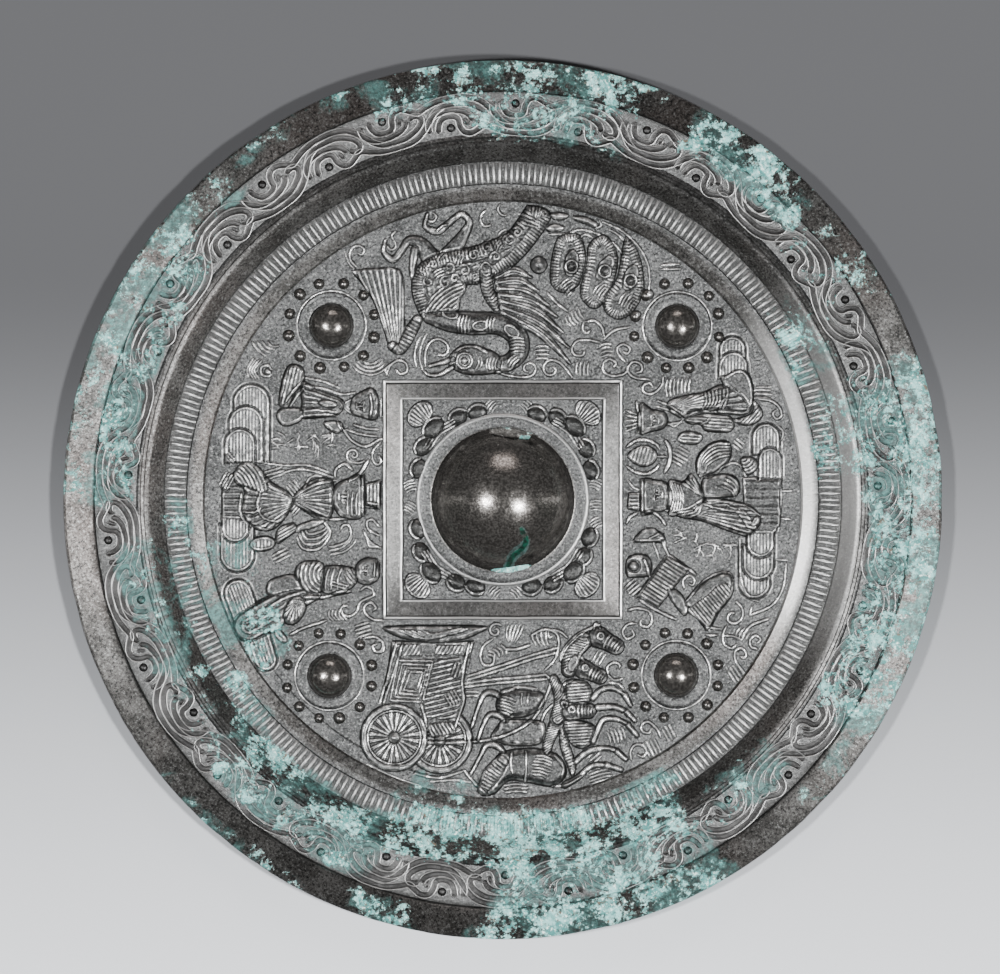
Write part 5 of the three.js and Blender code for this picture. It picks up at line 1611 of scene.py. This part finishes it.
def make_knob():
    """The domed knob on its round pad, pierced for a cord."""
    dome_height = KNOB_TOP - PAD_TOP
    profile = [
        (0, GROUND - 0.6), (PAD_RADIUS, GROUND - 0.6), (PAD_RADIUS, PAD_TOP - 0.3),
        (PAD_RADIUS - 0.4, PAD_TOP), (PAD_RADIUS - 0.9, PAD_TOP), (PAD_RADIUS - 1.2, PAD_TOP - 0.15),
        (KNOB_RADIUS + 1.4, PAD_TOP - 0.1), (KNOB_RADIUS + 0.9, PAD_TOP - 0.1),
        (KNOB_RADIUS + 0.4, PAD_TOP - 0.15),
    ]
    ball = (KNOB_RADIUS ** 2 + dome_height ** 2) / (2 * dome_height)
    rows = 26
    for row in range(rows):
        radius = KNOB_RADIUS * math.cos(math.pi / 2 * row / rows)
        profile.append((radius, KNOB_TOP - ball + math.sqrt(ball ** 2 - radius ** 2)))
    profile.append((0, KNOB_TOP))

    def wobble(angles, radius, height):
        x, y = radius * np.cos(angles), radius * np.sin(angles)
        inward = 1 - 0.004 * (0.5 + 0.5 * noise(x, y, 5)) * (radius[0] > 2)
        return radius * inward, height

    body = plain_object("knob_body", *turned_surface(profile, 128, wobble=wobble))
    bore = plain_object("knob_bore", *lofted(bore_rings()))
    for item in (body, bore):
        outward(item.data)
    cut = body.modifiers.new("bore", "BOOLEAN")
    cut.operation = "DIFFERENCE"
    cut.solver = "EXACT"
    cut.object = bore
    shaped = body.evaluated_get(bpy.context.evaluated_depsgraph_get()).to_mesh()
    vertices = np.array([vertex.co for vertex in shaped.vertices])
    faces = [tuple(face.vertices) for face in shaped.polygons]
    for item in (body, bore):
        bpy.data.objects.remove(item)
    radius = np.hypot(vertices[:, 0], vertices[:, 1])
    on_dome = smoothstep(KNOB_RADIUS + 0.3, KNOB_RADIUS - 0.3, radius)
    beside = np.abs(vertices[:, 0] - BORE_X)
    within = np.abs(vertices[:, 1]) < BORE_HALF_LENGTH
    in_bore = within & (beside < BORE_WIDTH / 2 + 1) & (vertices[:, 2] < PAD_TOP + BORE_HEIGHT)
    mouth = ~within & (beside < BORE_WIDTH / 2 + 0.3) & (radius < KNOB_RADIUS + 0.2)
    mouth &= vertices[:, 2] < PAD_TOP + 0.3
    mouth_crust = np.where(vertices[:, 1] < 0, 1.6, 0.7)
    lip = smoothstep(0.5, 0.2, np.abs(radius - PAD_RADIUS + 0.4))
    path = Place(curve(STREAK, 1.0), vertices[:, :1], vertices[:, 1:2])
    streak = smoothstep(1.5, 0.3, path.distance[:, 0]) * on_dome
    # The bore is painted dark, dirt with painted shade inside it, and the pad's lip gets a painted
    # bright line, partly wear and partly highlight.
    layers = {"handled": on_dome, "dirt_and_shade": np.where(in_bore, 1.0, 0.0), "green": 1.3 * streak,
              "pale": np.where(mouth, mouth_crust, 0.0), "worn": lip * 0.4}
    solid_mesh("knob", vertices, faces, layers, 38)


def make_bosses():
    """Four polished bosses on stepped rounds, with a ring of beads about each."""
    rng = np.random.default_rng(SEED + 3)
    flange = BOSS_FLANGE_RADIUS
    foot = GROUND + 0.2
    parts = []
    for x, y in BOSS_PLACES:
        profile = [(0, GROUND - 0.5), (flange, GROUND - 0.5), (flange - 0.1, GROUND + 0.25),
                   (flange - 0.5, GROUND + 0.42), (flange - 0.9, GROUND + 0.25),
                   (flange - 1.3, GROUND + 0.32), (BOSS_RADIUS + 0.7, GROUND + 0.36),
                   (BOSS_RADIUS + 0.25, foot)]
        for angle in range(8, 90, 9):
            radius, height = polar(1, angle)
            profile.append((BOSS_RADIUS * radius ** 0.9, foot + (BOSS_TOP - foot) * height))
        profile.append((0, BOSS_TOP))
        vertices, faces = turned_surface(profile, 72, (x, y))
        reach = np.hypot(vertices[:, 0] - x, vertices[:, 1] - y)
        parts.append((vertices, faces, {"handled": smoothstep(BOSS_RADIUS + 0.3, BOSS_RADIUS, reach)}))
        for bead in range(BEAD_COUNT):
            angle = 15 + 360 / BEAD_COUNT * bead + rng.uniform(-2, 2)
            bead_x, bead_y = polar(BEAD_CIRCLE + rng.uniform(-0.2, 0.2), angle, (x, y))
            size = BEAD_RADIUS * rng.uniform(0.9, 1.08)
            profile = [(0, GROUND - 0.4), (size + 0.1, GROUND - 0.4), (size + 0.05, GROUND + 0.05)]
            for tilt in range(14, 90, 15):
                radius, height = polar(1, tilt)
                profile.append((size * radius, GROUND + BEAD_HEIGHT * height))
            profile.append((0, GROUND + BEAD_HEIGHT))
            parts.append((*turned_surface(profile, 20, (bead_x, bead_y)), {"handled": 0.6}))
    vertices, faces, layers = joined(parts)
    solid_mesh("bosses_and_beads", vertices, faces, layers, 40)


def ribbon_rings(points, width, height):
    """Cross-sections of one flat-topped cloud ribbon; points are (angle, radius)."""
    x, y = polar(points[:, 1], points[:, 0])
    step = np.gradient(np.column_stack([x, y]), axis=0)
    step /= np.hypot(step[:, 0], step[:, 1])[:, None]
    rings = []
    for row in range(len(points)):
        to_end = min(row, len(points) - 1 - row) * RIBBON_SPACING / (width / 2)
        narrow = math.sqrt(max(0.1, 1 - (1 - min(to_end, 1)) ** 2))
        ring = []
        for across, up, _ in RIBBON_SECTION:
            ring.append((x[row] - step[row, 1] * across * width * narrow,
                         y[row] + step[row, 0] * across * width * narrow, FRIEZE_GROUND + height * up))
        rings.append(ring)
    return rings


def drifted(degrees):
    """The frieze was laid out by eye: its spacing opens and closes round the ring."""
    return degrees + 1.2 - 2.1 * np.cos(np.radians(degrees - 30))


def make_frieze():
    """Cloud scrolls: one hooked unit, in turn upright and upside down round the ring."""
    rng = np.random.default_rng(SEED + 4)
    to_degrees = 180 / math.pi / FRIEZE_MIDDLE
    parts = []
    for unit in range(2 * FRIEZE_PERIODS):
        middle = FRIEZE_START + 180 / FRIEZE_PERIODS * unit
        sign = -CLOUD_SPREAD if unit % 2 else CLOUD_SPREAD
        for points, width in CLOUD_RIBBONS:
            path = curve(points, RIBBON_SPACING)
            angles = drifted(middle - path[:, 0] * to_degrees)
            placed = np.column_stack([angles, FRIEZE_MIDDLE + sign * path[:, 1]])
            placed[:, 1] += 0.12 * noise(*polar(placed[:, 1], angles), 6)
            height = CLOUD_HEIGHT + rng.uniform(-0.06, 0.06)
            rings = ribbon_rings(placed, width * rng.uniform(0.95, 1.02), height)
            edges = np.tile([wear for _, _, wear in RIBBON_SECTION], len(rings))
            parts.append((*lofted(rings), {"raised": 1.0, "ribbon": 1.0, "worn": edges}))
        dot_x, dot_y = polar(FRIEZE_MIDDLE - sign * DOT_OFFSET, drifted(middle))
        profile = [(0, FRIEZE_GROUND - 0.3), (DOT_RADIUS, FRIEZE_GROUND - 0.3)]
        for tilt in range(0, 90, 22):
            radius, height = polar(1, tilt)
            profile.append((DOT_RADIUS * radius, FRIEZE_GROUND + DOT_HEIGHT * height))
        profile.append((0, FRIEZE_GROUND + DOT_HEIGHT))
        parts.append((*turned_surface(profile, 14, (dot_x, dot_y)), {"raised": 1.0, "ribbon": 1.0}))
    vertices, faces, layers = joined(parts)
    solid_mesh("cloud_frieze", vertices, faces, layers, 45)


def blurred(values, reach):
    """The mean of each value and its neighbours, `reach` cells to each side."""
    for axis in (0, 1):
        margins = [(0, 0), (0, 0)]
        margins[axis] = (reach + 1, reach)
        total = np.cumsum(np.pad(values, margins, "edge"), axis)
        ahead = np.take(total, range(2 * reach + 1, total.shape[axis]), axis)
        behind = np.take(total, range(0, total.shape[axis] - 2 * reach - 1), axis)
        values = (ahead - behind) / (2 * reach + 1)
    return values


def chained(follow):
    """The closed loops in a table of which vertex follows which."""
    loops = []
    while follow:
        first, here = follow.popitem()
        loop = [first]
        while here != first:
            loop.append(here)
            here = follow.pop(here)
        loops.append(loop)
    return loops


def field_heights():
    """The carved picture as heights over the whole field, and its grid."""
    carving = Carving(FIELD_RADIUS + 0.6)
    for draw in (draw_square, draw_north, draw_west, draw_east, draw_south, draw_bosses):
        draw(carving)
    x, y = np.meshgrid(carving.axis, carving.axis)
    relief = carving.heights()
    uneven = 0.09 * noise(x, y, 6) + 0.04 * noise(y, x, 1.3, 2) + 0.03 * noise(x + 5, y, 0.55, 1)
    radius = np.hypot(x, y)
    # A low step along the border, which dies away towards the east.
    step = smoothstep(FIELD_RADIUS - 3.4, FIELD_RADIUS - 3.0, radius) * smoothstep(40, -40, x)
    ground = GROUND + uneven + 0.18 * step
    relief = relief * smoothstep(FIELD_RADIUS + 0.2, FIELD_RADIUS - 0.3, radius)
    relief = relief * (1 + 0.10 * noise(x, y, 2.3, 2))
    return x, y, ground + relief, relief, carving.darkening


def make_field():
    """The picture field in four closed quarters, split on the lines through the bosses."""
    x, y, height, relief, darkening = field_heights()
    slope_y, slope_x = np.gradient(height, CELL)
    normals = np.dstack([-slope_x, -slope_y, np.ones_like(height)])
    normals /= np.linalg.norm(normals, axis=2)[..., None]
    cell_x = (x[:-1, :-1] + x[1:, 1:]) / 2
    cell_y = (y[:-1, :-1] + y[1:, 1:]) / 2
    kept = np.hypot(cell_x, cell_y) < FIELD_RADIUS + 0.45
    pad = np.hypot(cell_x, cell_y) < PAD_RADIUS - 0.8
    under_frame = np.maximum(abs(cell_x), abs(cell_y))
    under_frame = (under_frame > FRAME_INNER_HALF + 0.4) & (under_frame < FRAME_OUTER_HALF - 0.4)
    kept &= ~pad & ~under_frame
    for boss_x, boss_y in BOSS_PLACES:
        kept &= np.hypot(cell_x - boss_x, cell_y - boss_y) > BOSS_FLANGE_RADIUS - 1
    # The 0.001 puts the cells on a dividing line all into one quarter.
    quarter = (np.floor((np.degrees(np.arctan2(cell_y, cell_x)) + 45.001) / 90) % 4).astype(int)
    uneven = 0.55 + 0.45 * noise(x, y, 4)
    # Painted shade at the foot of the relief and in its hollows, with some dirt, plus the darkening laid
    # with the shapes.
    dirt_and_shade = uneven * 0.5 * smoothstep(0.02, 0.3, blurred(relief, 3) - relief) + darkening
    # Painted highlights on the crests of the relief, in patches, partly standing for wear.
    patchy = 0.25 + 0.75 * smoothstep(-0.15, 0.35, noise(x, y, 1.1, 2))
    worn = patchy * smoothstep(0.02, 0.11, relief - blurred(relief, 2))
    dirt_and_shade = dirt_and_shade * (1 - worn)
    for index, name in enumerate(("field_east", "field_north", "field_west", "field_south")):
        make_field_quarter(name, kept & (quarter == index), x, y, height, normals, worn, dirt_and_shade)


def make_field_quarter(name, kept, x, y, height, normals, worn, dirt_and_shade):
    """One closed piece of the field: carved top, side walls and a flat hidden bottom."""
    rows, columns = height.shape
    number = np.arange(rows * columns).reshape(rows, columns)
    corners = np.stack([number[:-1, :-1], number[:-1, 1:], number[1:, 1:], number[1:, :-1]], axis=-1)
    top = corners[kept]
    edges = np.concatenate([top[:, [a, b]] for a, b in ((0, 1), (1, 2), (2, 3), (3, 0))])
    key = edges[:, 0] * (rows * columns) + edges[:, 1]
    reverse = edges[:, 1] * (rows * columns) + edges[:, 0]
    border = edges[~np.isin(key, reverse)]
    used, packed = np.unique(top, return_inverse=True)
    top = packed.reshape(top.shape)
    start, stop = np.searchsorted(used, border[:, 0]), np.searchsorted(used, border[:, 1])
    rim = np.unique(start)
    below = np.full(len(used), -1)
    below[rim] = len(used) + np.arange(len(rim))
    walls = np.column_stack([start, below[start], below[stop], stop])
    flat = np.column_stack([x.ravel()[used], y.ravel()[used], height.ravel()[used]])
    floor = flat[rim].copy()
    floor[:, 2] = GROUND - 0.7
    vertices = np.vstack([flat, floor])
    bottom = chained(dict(zip(below[stop].tolist(), below[start].tolist())))
    faces = np.vstack([top, walls]).tolist() + bottom
    extra = len(vertices) - len(used)
    layers = {"worn": np.concatenate([worn.ravel()[used], np.zeros(extra)]),
              "dirt_and_shade": np.concatenate([dirt_and_shade.ravel()[used], np.zeros(extra)])}
    piece = solid_mesh(name, vertices, faces, layers)
    directions = np.vstack([normals.reshape(-1, 3)[used], np.tile((0, 0, -1.0), (extra, 1))])
    piece.data.normals_split_custom_set_from_vertices(directions.tolist())


# ---------------------------------------------------------------- material


class Nodes:
    """Short ways to add and join shader nodes. A value is a number, a colour or a node's output."""

    def __init__(self, name):
        self.material = bpy.data.materials.new(name)
        self.material.use_nodes = True
        self.tree = self.material.node_tree
        self.tree.nodes.clear()

    def add(self, kind, **settings):
        """A new node."""
        node = self.tree.nodes.new(kind)
        for key, value in settings.items():
            setattr(node, key, value)
        return node

    def join(self, source, target):
        """Gives an input its value."""
        if isinstance(source, (int, float)):
            target.default_value = source
        elif isinstance(source, tuple):
            target.default_value = (*source, 1)
        else:
            self.tree.links.new(source, target)

    def value(self, layer, output="Fac"):
        """The value that a layer has at the vertices."""
        return self.add("ShaderNodeAttribute", attribute_name=layer).outputs[output]

    def cloud(self, scale, detail=4, roughness=0.55, distortion=0.0):
        """Cloudy noise, fixed to the object."""
        node = self.add("ShaderNodeTexNoise")
        self.join(self.add("ShaderNodeTexCoord").outputs["Object"], node.inputs["Vector"])
        settings = {"Scale": scale, "Detail": detail, "Roughness": roughness, "Distortion": distortion}
        for name, setting in settings.items():
            self.join(setting, node.inputs[name])
        return node.outputs["Fac"]

    def math(self, operation, first, second, clamp=False):
        """An operation on two numbers."""
        node = self.add("ShaderNodeMath", operation=operation, use_clamp=clamp)
        self.join(first, node.inputs[0])
        self.join(second, node.inputs[1])
        return node.outputs[0]

    def plus(self, first, second):
        """The sum of two numbers."""
        return self.math("ADD", first, second)

    def times(self, first, second):
        """The product of two numbers."""
        return self.math("MULTIPLY", first, second)

    def rise(self, value, low, high):
        """0 below low, 1 above high, and a smooth rise between."""
        node = self.add("ShaderNodeMapRange", interpolation_type="SMOOTHSTEP")
        self.join(value, node.inputs["Value"])
        self.join(low, node.inputs["From Min"])
        self.join(high, node.inputs["From Max"])
        return node.outputs["Result"]

    def blend(self, share, first, second, data_type="RGBA"):
        """The first colour where the share is 0 and the second where it is 1."""
        node = self.add("ShaderNodeMix", data_type=data_type)
        self.join(share, node.inputs["Factor"])
        self.join(first, node.inputs["A"])
        self.join(second, node.inputs["B"])
        return node.outputs["Result"]

    def between(self, share, first, second):
        """Like blend, but for numbers."""
        return self.blend(share, first, second, "FLOAT")

    def finish(self, surface):
        """The material, once its surface is complete."""
        output = self.add("ShaderNodeOutputMaterial")
        self.join(surface.outputs["BSDF"], output.inputs["Surface"])
        return self.material


def metal_colour(n, mottle, grain):
    """Cast ground, scraped flats, dark ribbons, worn edges with painted highlights, handled bronze, and
    dirt with painted shade.
    """
    ground = n.blend(n.rise(mottle, 0.35, 0.68), *GROUND_COLOURS)
    flat = n.blend(n.rise(mottle, 0.4, 0.62), *FLAT_COLOURS)
    flat = n.blend(n.times(n.rise(n.cloud(25), 0.45, 0.65), 0.6), flat, FLAT_BROWN)
    metal = n.blend(n.value("raised"), ground, flat)
    metal = n.blend(n.rise(grain, 0.54, 0.68), metal, BRIGHT_GRAIN)
    metal = n.blend(n.rise(n.math("SUBTRACT", 1.0, grain), 0.5, 0.62), metal, DARK_GRAIN)
    ribbon = n.blend(n.rise(mottle, 0.4, 0.65), *RIBBON_COLOURS)
    metal = n.blend(n.times(n.value("ribbon"), 0.9), metal, ribbon)
    metal = n.blend(n.times(n.value("worn"), 0.85), metal, WEAR_AND_HIGHLIGHT_COLOUR)
    handled = n.blend(n.rise(grain, 0.42, 0.62), *HANDLED_COLOURS)
    metal = n.blend(n.value("handled"), metal, handled)
    return n.blend(n.math("MULTIPLY", n.value("dirt_and_shade"), 0.8, True), metal, DIRT_AND_SHADE_COLOUR)


def patina_over(n, metal, mottle, fine):
    """The metal's colour with the patina on it, and how much of it is crust and how much film."""
    pale, green = n.value("pale"), n.value("green")
    # Each lies where its soft patch is strong enough against the mottling.
    broken = n.plus(n.times(mottle, 0.55), n.times(fine, 0.45))
    crust = n.rise(n.plus(broken, n.times(pale, 0.125)), 0.59, 0.64)
    crust = n.times(crust, n.rise(pale, 0.02, 0.15))
    film = n.rise(n.plus(n.cloud(90, 6, 0.7, 0.4), n.times(green, 0.14)), 0.54, 0.66)
    film = n.times(film, n.rise(green, 0.02, 0.2))

    crust_colour = n.blend(n.rise(n.cloud(330, 5, 0.75), 0.42, 0.6), *CRUST_COLOURS)
    crust_colour = n.blend(n.rise(n.cloud(1300, 4, 0.75), 0.53, 0.66), crust_colour, CRUST_WHITE)
    crust_colour = n.blend(n.rise(n.cloud(450, 4, 0.7, 0.3), 0.58, 0.66), crust_colour, CRUST_SOIL)
    bright = n.rise(green, 0.95, 1.1)
    malachite = n.blend(n.rise(fine, 0.42, 0.6), *MALACHITE_COLOURS)
    film_colour = n.blend(bright, n.blend(n.rise(fine, 0.4, 0.62), *FILM_COLOURS), malachite)
    colour = n.blend(n.times(film, n.between(bright, 0.7, 0.95)), metal, film_colour)
    return n.blend(n.times(crust, 0.92), colour, crust_colour), crust, film


def bronze_material():
    """Dark bronze with a fine cast grain, scraped rings, polished bosses and crusts of patina."""
    n = Nodes("bronze")
    handled, scraped = n.value("handled"), n.value("scraped")
    mottle = n.cloud(130, 6, 0.65)
    fine = n.cloud(700, 5, 0.75)
    grain = n.cloud(1700, 4, 0.75)
    colour, crust, film = patina_over(n, metal_colour(n, mottle, grain), mottle, fine)
    covered = n.math("MAXIMUM", crust, n.times(film, 0.35))

    rough = n.between(n.rise(fine, 0.35, 0.7), 0.33, 0.48)
    rough = n.between(n.value("worn"), rough, 0.25)
    rough = n.between(scraped, rough, 0.38)
    rough = n.between(handled, rough, n.between(n.rise(fine, 0.4, 0.7), 0.17, 0.28))
    rough = n.between(covered, rough, 0.72)

    height = n.plus(n.times(fine, 0.9), n.times(grain, 0.6))
    height = n.plus(height, n.times(crust, 0.6))
    smoother = n.between(n.math("MAXIMUM", handled, scraped), 1.0, 0.2)
    bump = n.add("ShaderNodeBump")
    n.join(0.5, bump.inputs["Strength"])
    n.join(0.00022, bump.inputs["Distance"])
    n.join(n.times(height, smoother), bump.inputs["Height"])

    surface = n.add("ShaderNodeBsdfPrincipled")
    n.join(colour, surface.inputs["Base Color"])
    n.join(rough, surface.inputs["Roughness"])
    n.join(n.between(covered, 0.85, 0.0), surface.inputs["Metallic"])
    n.join(n.times(scraped, 0.9), surface.inputs["Anisotropic"])
    n.join(n.value("across_finish", "Vector"), surface.inputs["Tangent"])
    n.join(bump.outputs["Normal"], surface.inputs["Normal"])
    return n.finish(surface)


def floor_material():
    """Plain grey with a painted fall-off of light, pale towards -Y and dark towards +Y."""
    n = Nodes("floor")
    place = n.add("ShaderNodeSeparateXYZ")
    n.join(n.add("ShaderNodeTexCoord").outputs["Object"], place.inputs[0])
    shade = n.rise(place.outputs["Y"], *FLOOR_PAINTED_FALLOFF)
    surface = n.add("ShaderNodeBsdfPrincipled")
    n.join(n.blend(shade, FLOOR_NEAR, FLOOR_FAR), surface.inputs["Base Color"])
    n.join(0.9, surface.inputs["Roughness"])
    n.join(0.1, surface.inputs["Specular IOR Level"])
    return n.finish(surface)


# ---------------------------------------------------------------- stage


def soft_light(name, tilt, bearing, distance, width, height, watts, colour):
    """A soft panel aimed at the mirror, `tilt` degrees from straight above it."""
    lamp = bpy.data.lights.new(name, "AREA")
    lamp.shape = "RECTANGLE"
    lamp.size, lamp.size_y = width, height
    lamp.energy = watts
    lamp.color = colour
    light = linked(name, lamp)
    across, up = polar(distance, 90 - tilt)
    x, y = polar(across, bearing)
    light.location = (x, y, up)
    light.rotation_euler = (-light.location).to_track_quat("-Z", "Y").to_euler()


def set_stage():
    """Floor, lights, dim surroundings and a camera straight above."""
    mesh = bpy.data.meshes.new("floor")
    corners = [(-1, -1), (1, -1), (1, 1), (-1, 1)]
    mesh.from_pydata([(x * FLOOR_HALF, y * FLOOR_HALF, 0) for x, y in corners], [], [(0, 1, 2, 3)])
    mesh.materials.append(floor_material())
    floor = linked("floor", mesh)

    for panel in PANELS:
        soft_light(*panel)

    world = bpy.data.worlds.new("room")
    world.use_nodes = True
    background = world.node_tree.nodes["Background"]
    background.inputs["Color"].default_value = ROOM_COLOUR
    background.inputs["Strength"].default_value = ROOM_STRENGTH
    bpy.context.scene.world = world

    lens = bpy.data.cameras.new("camera")
    lens.sensor_width = SENSOR_WIDTH
    lens.lens = SENSOR_WIDTH * (CAMERA_HEIGHT - PICTURE_LEVEL) / PICTURE_WIDTH
    camera = linked("camera", lens)
    camera.location = (*CAMERA_AIM, CAMERA_HEIGHT)
    bpy.context.scene.camera = camera


BRONZE = bronze_material()
make_casting()
make_comb()
make_square_frame()
make_knob()
make_bosses()
make_frieze()
make_field()
set_stage()
